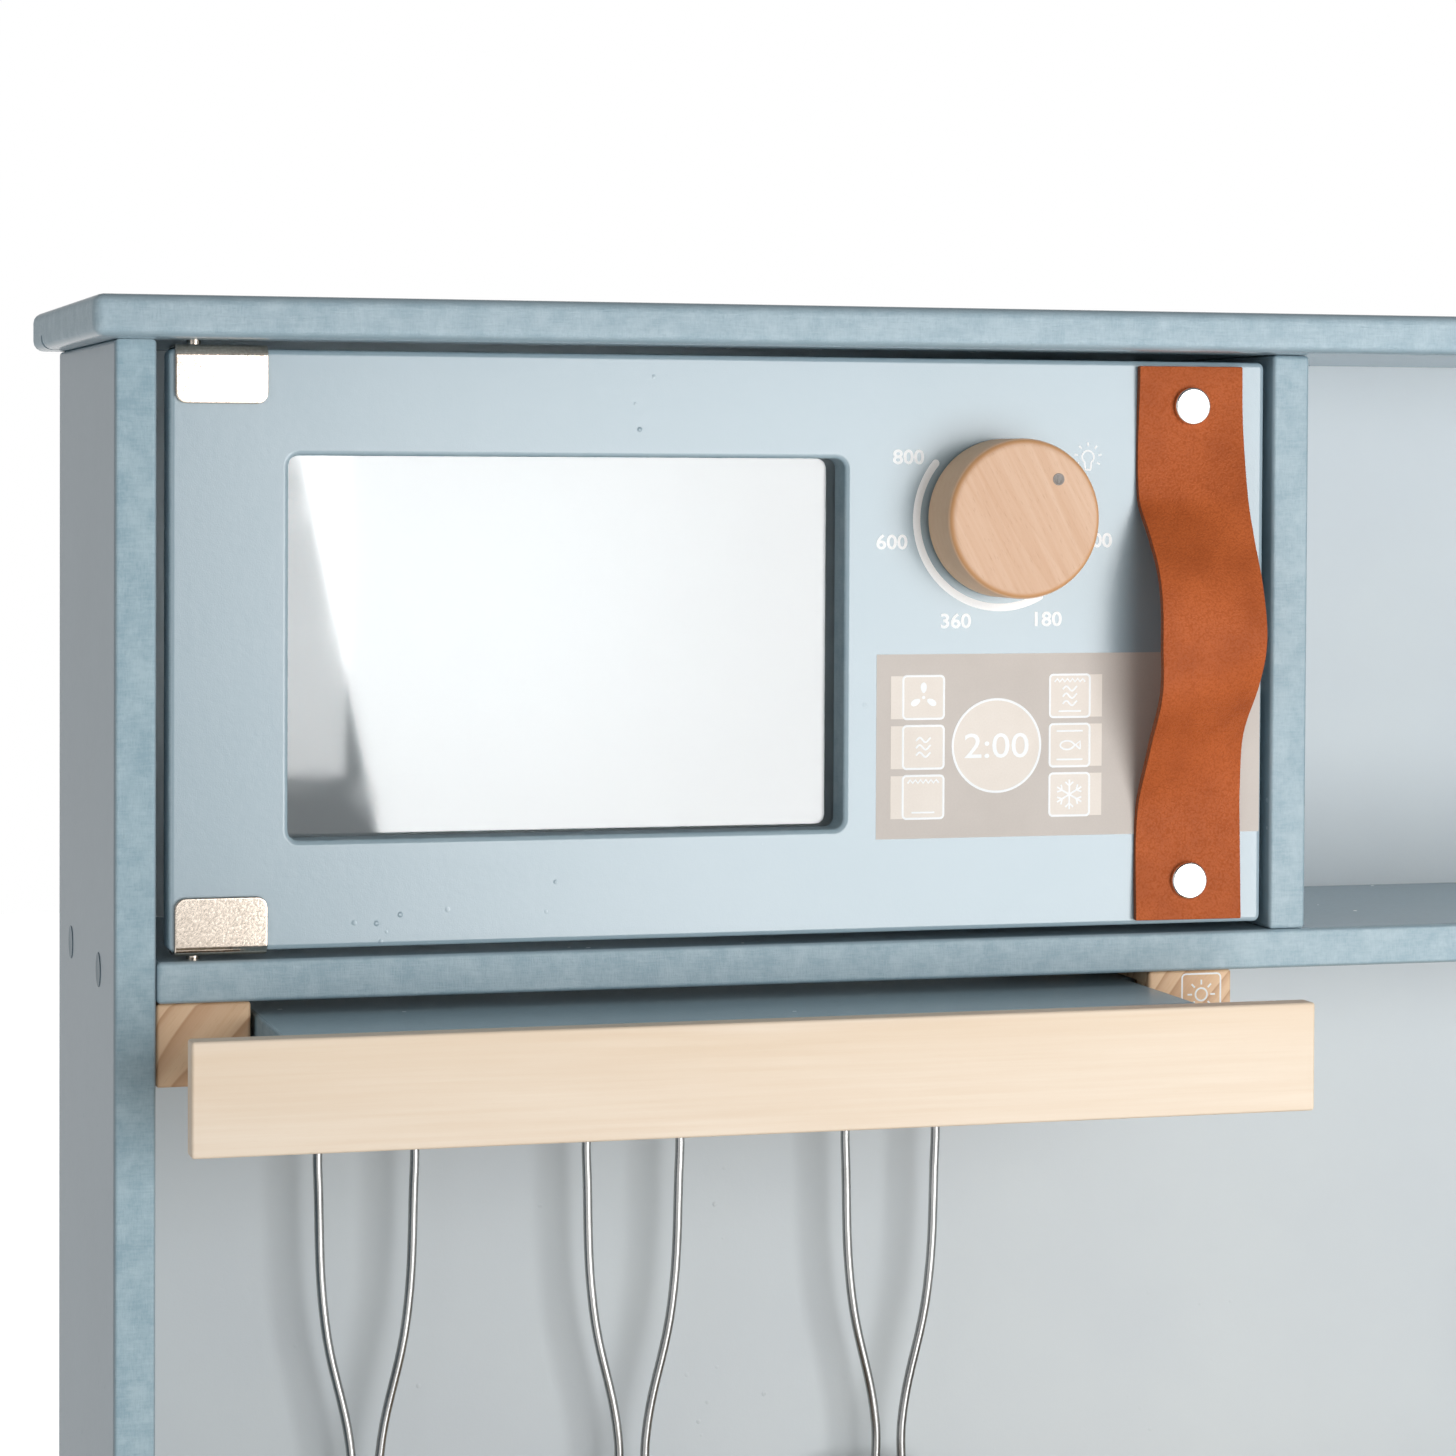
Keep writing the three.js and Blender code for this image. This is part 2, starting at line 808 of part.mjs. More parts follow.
function cupboardDoor() {
  const width = right_bay_width - hinge_side_gap - free_side_gap;
  const group = doorGroup('cupboard', -1, width, lower_door_height, null, []);
  group.position.set(right_inner - hinge_side_gap, lower_front + door_setback, bottom_top + end_gap);
  return group;
}

// Magnetic catches on the dividers, just behind the closed doors
function doorCatch(name, side, front, z) {
  const face = side < 0 ? [divider_left - seam - catch_width, divider_left - seam]
    : [divider_right + seam, divider_right + seam + catch_width];
  const start = front + door_setback + board + play;
  return piece(name, block(
    face,
    [start, start + catch_depth],
    [z - catch_height / 2, z + catch_height / 2],
    catch_edge,
  ), white_plastic);
}

// Turned knobs: the face looks to -y, and the back stands off the board at y = front
function knob([x, z], front, bore_radius) {
  const back = front - knob_standoff;
  const face = back - knob_thickness;
  const bottom = back - spindle_depth_in_knob;
  const profile = bore_radius > 0 ? [[0, bottom], [bore_radius, bottom], [bore_radius, back]] : [[0, back]];
  const rim = [[-1, back], [1, face]];
  for (const [way, level] of rim) {
    for (let i = 0; i <= rim_steps; i += 1) {
      const angle = (i / rim_steps) * Math.PI / 2;
      const out = way < 0 ? Math.sin(angle) : Math.cos(angle);
      const rise = way < 0 ? Math.cos(angle) : Math.sin(angle);
      const middle = level + way * knob_rim;
      profile.push([knob_radius - knob_rim * (1 - out), middle - way * knob_rim * rise]);
    }
  }
  profile.push([0, face]);
  return turned(profile).translate(x, 0, z);
}

function spindle([x, z], front, thickness) {
  const tip = front - knob_standoff - spindle_depth_in_knob + seam;
  const head = front + thickness + seam;
  const profile = [
    [0, tip],
    [spindle_radius, tip],
    [spindle_radius, head],
    [spindle_head_radius, head],
    [spindle_head_radius, head + spindle_head_height],
    [0, head + spindle_head_height],
  ];
  return turned(profile, small_sides).translate(x, 0, z);
}

function ovenKnobPlaces() {
  const z = (control_under + worktop_under) / 2;
  return [-1, 1].map((side) => [left_bay_middle + side * oven_knob_spacing / 2, z]);
}

// The lower knobs are turned in one piece with their dowel and end cap
function ovenKnob(name, place) {
  const front = lower_front + door_setback;
  const dowel = spindle(place, front, board);
  return piece(name, weld(knob(place, front, 0), dowel), beech);
}

// Pull-out hood: two grooved blocks under the shelf, and a slab with a fascia that slides between them
function hoodBlock(name, side) {
  const left = side < 0 ? left_inner + seam : left_inner + hood_span - hood_block_width;
  const front = upper_front + hood_block_setback;
  const solid = block(
    [left, left + hood_block_width],
    [front, front + hood_block_length],
    [shelf_under - hood_block_height, shelf_under - seam],
    board_edge,
  );
  const inner = side < 0 ? left + hood_block_width : left;
  const reach = inner + side * (hood_tongue_reach - hood_slab_side_gap + hood_groove_bottom);
  const slab_top = shelf_under - hood_slab_drop;
  const groove = block(
    [inner - side * overrun, reach].sort((a, b) => a - b),
    [front + hood_groove_from_front, front + hood_block_length + overrun],
    [slab_top - board - play, slab_top + play],
  );
  return piece(name, carve(solid, groove), pine);
}

function hood() {
  const group = new THREE.Group();
  const clear_left = left_inner + hood_block_width + hood_slab_side_gap;
  const clear_right = left_inner + hood_span - hood_block_width - hood_slab_side_gap;
  const shoulder = hood_tongue_start;
  const outline = new THREE.Shape([
    [clear_left, 0],
    [clear_right, 0],
    [clear_right, shoulder],
    [clear_right + hood_tongue_reach, shoulder],
    [clear_right + hood_tongue_reach, hood_slab_length],
    [clear_left - hood_tongue_reach, hood_slab_length],
    [clear_left - hood_tongue_reach, shoulder],
    [clear_left, shoulder],
  ].map(([x, y]) => new THREE.Vector2(x, y)));
  const slab = extruded(outline, board, board_edge).translate(0, seam, -board);
  const left = left_inner + fascia_from_side;
  const fascia = block(
    [left, left + fascia_width],
    [-fascia_thickness, 0],
    [-fascia_height, 0],
    fascia_edge,
  );
  group.add(piece('hood_slab', slab, paint), piece('hood_fascia', fascia, poplar));
  const closed_at = upper_front + hood_block_setback - play;
  group.position.set(0, closed_at - hood_pulled_out, shelf_under - hood_slab_drop);
  return group;
}

// Hooks and the utensils that hang from them
function hookX(slot) {
  return left_bay_middle + rail_shift + slot * hook_pitch;
}

function hookRail() {
  const middle = left_bay_middle + rail_shift;
  return piece('hook_rail', block(
    [middle - rail_length / 2, middle + rail_length / 2],
    [rail_front, rail_front + rail_thickness],
    [hook_z - rail_height / 2, hook_z + rail_height / 2],
    board_edge,
  ), pine);
}

function hook(name, slot) {
  const face = rail_front - seam;
  const plate = turned([
    [0, face],
    [hook_plate_radius, face],
    [hook_plate_radius, face - hook_plate_thickness],
    [0, face - hook_plate_thickness],
  ], small_sides);
  const tip = face - hook_reach;
  const peg = wire([
    at(0, face - hook_plate_thickness + weld_overlap, 0),
    at(0, (face + tip) / 2, 0),
    at(0, tip + hook_bend, 0),
    at(0, tip, hook_bend),
    at(0, tip, hook_lip),
  ], hook_wire_radius, hook_steps);
  return piece(name, weld(plate, peg).translate(hookX(slot), 0, hook_z), steel);
}

// A bent wire loop; its top rests on a hook at the origin, and its two legs close in to the neck
function handleLoop() {
  const arc = utensil_spacing / 2;
  const down = (share) => loop_middle - utensil_handle_length * share;
  const legs = (side) => [
    at(side * utensil_neck_spacing / 2, 0, neck_z),
    at(side * utensil_neck_spacing / 2, 0, down(handle_neck_share)),
    at(side * arc * handle_middle_width_share, 0, down(handle_middle_share)),
    at(side * arc, 0, down(handle_shoulder_share)),
    at(side * arc, 0, loop_middle),
  ];
  const crown = halfTurn(loop_crown_steps).map((angle) => (
    at(-arc * Math.cos(angle), 0, loop_middle + arc * Math.sin(angle))
  ));
  return wire([...legs(-1), ...crown, ...legs(1).reverse()], utensil_wire_radius, loop_steps);
}

function bladeOutline() {
  const top = neck_z + utensil_wire_radius;
  const bottom = top - utensil_blade_length;
  const shape = new THREE.Shape();
  const shoulder = utensil_blade_shoulder / 2;
  const half = utensil_blade_width / 2;
  shape.moveTo(-shoulder, top);
  shape.lineTo(-half, bottom + utensil_blade_corner);
  shape.quadraticCurveTo(-half, bottom, -half + utensil_blade_corner, bottom);
  shape.lineTo(half - utensil_blade_corner, bottom);
  shape.quadraticCurveTo(half, bottom, half, bottom + utensil_blade_corner);
  shape.lineTo(shoulder, top);
  return shape;
}

function turnerHead(slotted) {
  const shape = bladeOutline();
  const low = neck_z - utensil_blade_length + utensil_blade_corner;
  for (let i = 0; slotted && i < slots; i += 1) {
    const x = (i - (slots - 1) / 2) * slot_pitch;
    const half = slot_width / 2;
    shape.holes.push(roundedRect(x - half, x + half, low, low + slot_length, half));
  }
  return upright(shape, -utensil_blade_thickness / 2, utensil_blade_thickness);
}

function ladleHead() {
  const profile = [];
  const shell = [[ladle_radius, ladle_depth, 1], [ladle_radius - ladle_wall, ladle_depth - ladle_wall, -1]];
  for (const [radius, depth, way] of shell) {
    for (let i = 0; i <= bowl_steps; i += 1) {
      const angle = Math.PI / 2 * (way > 0 ? i / bowl_steps : 1 - i / bowl_steps);
      profile.push([radius * Math.sin(angle), depth * Math.cos(angle)]);
    }
  }
  return turned(profile).translate(0, 0, neck_z + utensil_wire_radius * 2 - ladle_radius);
}

function utensil(name, slot, head) {
  const mesh = piece(name, weld(handleLoop(), head), steel);
  mesh.position.set(hookX(slot), rail_front - utensil_from_rail, hook_z);
  return mesh;
}

// Hob
function hobPlate() {
  const shape = roundedRect(
    left_bay_middle - hob_width / 2,
    left_bay_middle + hob_width / 2,
    hob_far - hob_depth,
    hob_far,
    hob_corner,
  );
  const plate = extruded(shape, hob_thickness, hob_edge).translate(0, 0, worktop_height + seam);
  return piece('hob_plate', plate, graphite);
}

function burner(name, side, radius) {
  const low = worktop_height + hob_thickness + 2 * seam;
  const profile = [
    [burner_hole_radius, low],
    [radius, low],
    [radius, low + burner_thickness],
    [burner_hole_radius, low + burner_thickness],
    [burner_hole_radius, low],
  ];
  const x = left_bay_middle + side * burner_spread / 2;
  return piece(name, turnedUpright(profile).translate(x, hob_far - hob_depth / 2, 0), beech);
}

// Sink basin and tap
function basinOutline(inset) {
  return roundedRect(
    right_bay_middle - basin_rim_width / 2 + inset,
    right_bay_middle + basin_rim_width / 2 - inset,
    basin_far - basin_rim_depth + inset,
    basin_far - inset,
    basin_corner - inset,
  );
}

function sinkBasin() {
  const low = worktop_height + seam;
  const rim = extruded(basinOutline(0), basin_rim_height).translate(0, 0, low);
  const bowl = extruded(basinOutline(basin_rim_lip), basin_bowl_depth + weld_overlap)
    .translate(0, 0, low - basin_bowl_depth);
  const hollow_outline = basinOutline(basin_rim_lip + basin_wall);
  const hollow = extruded(hollow_outline, basin_bowl_depth + basin_rim_height + overrun)
    .translate(0, 0, low - basin_bowl_depth + basin_wall);
  const y = basin_far - basin_rim_depth / 2;
  const drain = rod(
    basin_drain_radius,
    at(right_bay_middle, y, low - basin_bowl_depth - overrun),
    at(right_bay_middle, y, low),
  );
  return piece('sink_basin', carve(weld(rim, bowl), hollow, drain), steel);
}

function tapY() {
  return upper_back_front - tap_back_gap;
}

function tapBase() {
  const low = worktop_height + seam;
  const top = low + tap_column_height;
  const column = turnedUpright([
    [0, low],
    [tap_flange_radius, low],
    [tap_flange_radius, low + tap_flange_height],
    [tap_column_radius, low + tap_flange_height],
    [tap_column_radius, top],
    [tap_socket_radius, top],
    [tap_socket_radius, top - tap_socket_depth],
    [0, top - tap_socket_depth],
  ]).translate(right_bay_middle, tapY(), 0);
  const z = low + lever_height;
  const socket = rod(
    lever_pivot_radius + play,
    at(right_bay_middle + tap_column_radius - lever_pivot_length - play, tapY(), z),
    at(right_bay_middle + tap_column_radius + overrun, tapY(), z),
  );
  return piece('tap_base', carve(column, socket), steel);
}

function tapSpout() {
  const seat = play;
  const tail = turnedUpright([
    [0, -tap_socket_depth + seat + play],
    [tap_socket_radius - play, -tap_socket_depth + seat + play],
    [tap_socket_radius - play, seat],
    [spout_collar_radius, seat],
    [spout_collar_radius, seat + spout_collar_height],
    [0, seat + spout_collar_height],
  ], small_sides);
  const foot = seat + spout_collar_height - weld_overlap;
  const bend = foot + spout_rise;
  const crown = halfTurn(spout_crown_steps).map((angle) => (
    at(0, -spout_arc * (1 - Math.cos(angle)), bend + spout_arc * Math.sin(angle))
  ));
  const tube = wire([
    at(0, 0, foot),
    at(0, 0, bend - spout_straight),
    at(0, 0, bend),
    ...crown,
    at(0, -2 * spout_arc, bend),
    at(0, -2 * spout_arc, bend - spout_drop),
  ], spout_radius, spout_steps, small_sides);
  const mesh = piece('tap_spout', weld(tail, tube), steel);
  mesh.position.set(right_bay_middle, tapY(), worktop_height + seam + tap_column_height);
  return mesh;
}

function tapLever() {
  const hub_start = tap_column_radius + play;
  const hub = rod(lever_hub_radius, at(hub_start, 0, 0), at(hub_start + lever_hub_length, 0, 0));
  const pivot = rod(
    lever_pivot_radius,
    at(tap_column_radius - lever_pivot_length, 0, 0),
    at(hub_start + weld_overlap, 0, 0),
  );
  const stick_x = hub_start + lever_hub_length / 2;
  const stick = rod(lever_stick_radius, at(stick_x, 0, 0), at(stick_x, 0, lever_stick_length));
  const mesh = piece('tap_lever', weld(hub, pivot, stick), steel);
  mesh.position.set(right_bay_middle, tapY(), worktop_height + seam + lever_height);
  return mesh;
}

// Wire rack in the oven, its side rods in grooves of the side board and the divider
function ovenRack() {
  const z = bottom_top + rack_height;
  const left = left_inner - rack_insert + rack_wire_radius;
  const right = divider_left + rack_insert - rack_wire_radius;
  const rods = [rack_near, rack_far].map((y) => (
    rod(rack_wire_radius, at(left, y, z), at(right, y, z), wire_sides)
  ));
  for (let i = 0; i < rack_bars + 2; i += 1) {
    const x = left + (right - left) * i / (rack_bars + 1);
    const edge = i === 0 || i === rack_bars + 1 ? rack_wire_radius : 0;
    rods.push(rod(rack_wire_radius, at(x, rack_near - edge, z), at(x, rack_far + edge, z), wire_sides));
  }
  return piece('oven_rack', weld(...rods), steel);
}

function cabinet() {
  return [
    sidePanel('side_panel_left', -1),
    sidePanel('side_panel_right', 1),
    topBoard(),
    midShelf(),
    upperDivider(),
    worktop(),
    bottomBoard(),
    toeBoard(),
    controlBoard(),
    lowerDivider(),
    backPanel(
      'upper_back_panel',
      upper_back_front,
      [shelf_top - groove_depth, side_height + groove_depth],
      paint_pale,
    ),
    backPanel(
      'splash_back_panel',
      upper_back_front,
      [worktop_height - groove_depth, shelf_under + groove_depth],
      paint_pale,
    ),
    backPanel('lower_back_panel', lower_back_front, [toe_height + seam, worktop_under - seam], paint_pale),
  ];
}

function fittings() {
  const knobs = ovenKnobPlaces();
  const door_middle = (bottom_top + control_under) / 2;
  return [
    microwave(),
    doorCatch('microwave_catch', -1, upper_front, (shelf_top + side_height) / 2),
    hoodBlock('hood_block_left', -1),
    hoodBlock('hood_block_right', 1),
    hood(),
    hookRail(),
    hook('hook_left', -1),
    hook('hook_middle', 0),
    hook('hook_right', 1),
    utensil('ladle', -1, ladleHead()),
    utensil('slotted_turner', 0, turnerHead(true)),
    utensil('turner', 1, turnerHead(false)),
    hobPlate(),
    burner('burner_large', -1, burner_large_radius),
    burner('burner_small', 1, burner_small_radius),
    sinkBasin(),
    tapBase(),
    tapSpout(),
    tapLever(),
    ovenDoor(),
    doorCatch('oven_catch', -1, lower_front, door_middle),
    ovenRack(),
    cupboardDoor(),
    doorCatch('cupboard_catch', 1, lower_front, door_middle),
    ovenKnob('oven_knob_left', knobs[0]),
    ovenKnob('oven_knob_right', knobs[1]),
  ];
}

const kitchen = new THREE.Group();
kitchen.add(...cabinet(), ...fittings());
kitchen.updateMatrixWorld(true);
const reach = new THREE.Box3().setFromObject(kitchen, true);
const middle = reach.getCenter(new THREE.Vector3());
kitchen.position.set(-middle.x, -middle.y, -reach.min.z);

export default kitchen;
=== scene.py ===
"""Looks of the wooden toy kitchen, built around its fixed frame.

Lengths are metres, +Z is up and the fronts face -Y.
"""
import logging
import math
from dataclasses import dataclass
from enum import Enum
from typing import Iterable, Optional, Sequence, Union

import bmesh
import bpy
from mathutils import Matrix, Vector


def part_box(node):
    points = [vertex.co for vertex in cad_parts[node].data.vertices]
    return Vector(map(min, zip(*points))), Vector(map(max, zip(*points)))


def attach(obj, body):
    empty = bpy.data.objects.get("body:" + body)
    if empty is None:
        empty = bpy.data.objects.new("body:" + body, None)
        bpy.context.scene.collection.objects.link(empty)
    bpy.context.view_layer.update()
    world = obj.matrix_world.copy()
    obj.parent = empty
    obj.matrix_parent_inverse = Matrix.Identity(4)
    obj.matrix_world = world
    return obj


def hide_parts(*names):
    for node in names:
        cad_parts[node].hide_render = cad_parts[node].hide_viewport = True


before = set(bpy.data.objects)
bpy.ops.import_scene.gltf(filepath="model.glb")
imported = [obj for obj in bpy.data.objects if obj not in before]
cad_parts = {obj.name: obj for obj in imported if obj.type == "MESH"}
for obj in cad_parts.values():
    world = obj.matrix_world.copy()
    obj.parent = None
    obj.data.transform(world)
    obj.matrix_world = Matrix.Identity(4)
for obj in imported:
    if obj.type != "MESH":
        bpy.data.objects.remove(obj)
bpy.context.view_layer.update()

log = logging.getLogger("toy_kitchen")

Point = tuple[float, float, float]
Flat = tuple[float, float]
Shape = bmesh.types.BMesh
Edges = list[bmesh.types.BMEdge]
Faces = list[bmesh.types.BMFace]
Finish = bpy.types.Material
Node = bpy.types.Node
Tree = bpy.types.NodeTree
Socket = bpy.types.NodeSocket
Wired = Union[Socket, float, tuple]

HALF_TURN = math.pi
FULL_TURN = 2 * math.pi
QUARTER_TURN = math.pi / 2
MERGE = 1e-6
SMOOTH_BELOW = math.radians(34)
FLOAT = "NodeSocketFloat"
VECTOR = "NodeSocketVector"


class Slot(Enum):
    """The names of the record's material slots; settle is handed one with each new piece."""

    PAINT = "blue_paint"
    WORKTOP = "natural_worktop"
    PINE = "natural_pine"
    POPLAR = "natural_poplar"
    BEECH = "natural_beech"
    LEATHER = "tan_leather"
    NICKEL = "nickel"
    STEEL = "polished_steel"
    HOB = "hob_black"
    PLASTIC = "white_plastic"


class Axis(Enum):
    """The direction through a board's thickness, or along a grain."""

    X = (1.0, 0.0, 0.0)
    Y = (0.0, 1.0, 0.0)
    Z = (0.0, 0.0, 1.0)


class Named(Enum):
    """A choice whose name stands in the names of nodes."""

    @property
    def word(self) -> str:
        """Give the word that the names of nodes have for it."""
        return self.name.lower()


class Side(Named):
    """A side, with its direction along X."""

    LEFT = -1
    RIGHT = 1


class End(Named):
    """A door's end, with its direction along Z."""

    TOP = 1
    BOTTOM = -1


class Head(Named):
    """What a utensil ends in; the name is the utensil's node."""

    LADLE = 1
    SLOTTED_TURNER = 2
    TURNER = 3


def hue(code: int) -> tuple[float, float, float, float]:
    """Turn a written colour such as 0xA0B4BE into linear light by the sRGB curve.

    Args:
        code: Red, green and blue, eight bits each.
    Returns:
        The three linear values and an alpha of one.
    """
    shares = [((code >> shift) & 255) / 255 for shift in (16, 8, 0)]
    return (*(s / 12.92 if s <= 0.04045 else ((s + 0.055) / 1.055) ** 2.4 for s in shares), 1.0)


class Net:
    """A node tree being wired, with short calls for the nodes that this kitchen uses."""

    def __init__(self, tree: Tree) -> None:
        """Hold the tree."""
        self.tree = tree

    def feed(self, node: Node, inputs: dict[Union[int, str], Wired]) -> None:
        """Link a node's inputs, or set their own values.

        Args:
            node: The node.
            inputs: An output socket, a number or a tuple for each input.
        """
        for key, value in inputs.items():
            if isinstance(value, Socket):
                self.tree.links.new(value, node.inputs[key])
            else:
                node.inputs[key].default_value = value

    def add(self, kind: str, inputs: Optional[dict] = None, **settings: object) -> Node:
        """Add a node.

        Args:
            kind: The node's type name.
            inputs: What feed gives to its inputs.
            settings: Its properties.
        Returns:
            The node.
        """
        node = self.tree.nodes.new(kind)
        for name, value in settings.items():
            setattr(node, name, value)
        self.feed(node, inputs or {})
        return node

    def sum(self, operation: str, a: Wired, b: Wired = 0.0, clamp: bool = False) -> Socket:
        """Work out one sum of two values, kept between zero and one where clamp says so."""
        return self.add("ShaderNodeMath", {0: a, 1: b}, operation=operation, use_clamp=clamp).outputs[0]

    def times(self, a: Wired, b: Wired) -> Socket:
        """Multiply two values."""
        return self.sum("MULTIPLY", a, b)

    def plus(self, a: Wired, b: Wired) -> Socket:
        """Add two values."""
        return self.sum("ADD", a, b)

    def dot(self, a: Wired, b: Wired) -> Socket:
        """Give the dot product of two vectors."""
        return self.add("ShaderNodeVectorMath", {0: a, 1: b}, operation="DOT_PRODUCT").outputs["Value"]

    def span(self, value: Wired, low: float, high: float, start: Wired = 0.0, end: Wired = 1.0) -> Socket:
        """Map a value's range from low to high onto start to end, clamped."""
        inputs = {"Value": value, "From Min": low, "From Max": high, "To Min": start, "To Max": end}
        return self.add("ShaderNodeMapRange", inputs).outputs["Result"]

    def mix(self, share: Wired, a: Wired, b: Wired) -> Socket:
        """Mix a colour with a share of a second one."""
        return self.add("ShaderNodeMix", {0: share, 6: a, 7: b}, data_type="RGBA").outputs[2]

    def coordinates(self, kind: str = "Object") -> Socket:
        """Give the object coordinates, or another kind of them."""
        return self.add("ShaderNodeTexCoord").outputs[kind]

    def place(self, scale: Point = (1, 1, 1), turn: Point = (0, 0, 0),
              source: Optional[Socket] = None) -> Socket:
        """Give coordinates, turned by radians round each axis and stretched along it."""
        inputs = {"Vector": source or self.coordinates(), "Rotation": turn, "Scale": scale}
        return self.add("ShaderNodeMapping", inputs).outputs["Vector"]

    def noise(self, vector: Wired, scale: float, detail: float = 2.0, rough: float = 0.5) -> Socket:
        """Give noise with its features per metre, its finer layers and their weight."""
        inputs = {"Vector": vector, "Scale": scale, "Detail": detail, "Roughness": rough}
        return self.add("ShaderNodeTexNoise", inputs).outputs["Fac"]

    def cells(self, vector: Wired, scale: float) -> Socket:
        """Give the distance to the nearest of scattered points, with their number per metre."""
        return self.add("ShaderNodeTexVoronoi", {"Vector": vector, "Scale": scale}).outputs["Distance"]

    def bump(self, height: Wired, depth: float) -> Socket:
        """Turn a height from zero to one into a normal, with the depth of a height of one."""
        inputs = {"Strength": 1.0, "Distance": depth, "Height": height}
        return self.add("ShaderNodeBump", inputs).outputs["Normal"]

    def apart(self, vector: Wired) -> bpy.types.NodeOutputs:
        """Take a vector apart into its X, Y and Z."""
        return self.add("ShaderNodeSeparateXYZ", {0: vector}).outputs

    def effect(self, group: Tree, **values: Wired) -> bpy.types.NodeOutputs:
        """Place a shared effect in this tree.

        Args:
            group: The effect's node group.
            values: Its inputs, with _ for a space in their names.
        Returns:
            Its outputs.
        """
        inputs = {name.replace("_", " "): value for name, value in values.items()}
        return self.add("ShaderNodeGroup", inputs, node_tree=group).outputs


def new_effect(name: str, inputs: dict[str, str], outputs: Sequence[str]) -> tuple[Net, Node, Node]:
    """Start a shared effect as a node group.

    Args:
        name: The group's name.
        inputs: The input sockets and their types.
        outputs: The output sockets, which are numbers.
    Returns:
        The net, the node that gives the inputs and the node that takes the outputs.
    """
    group = bpy.data.node_groups.new(name, "ShaderNodeTree")
    for way, sockets in (("INPUT", inputs), ("OUTPUT", dict.fromkeys(outputs, FLOAT))):
        for label, kind in sockets.items():
            group.interface.new_socket(label, in_out=way, socket_type=kind)
    net = Net(group)
    return net, net.add("NodeGroupInput"), net.add("NodeGroupOutput")


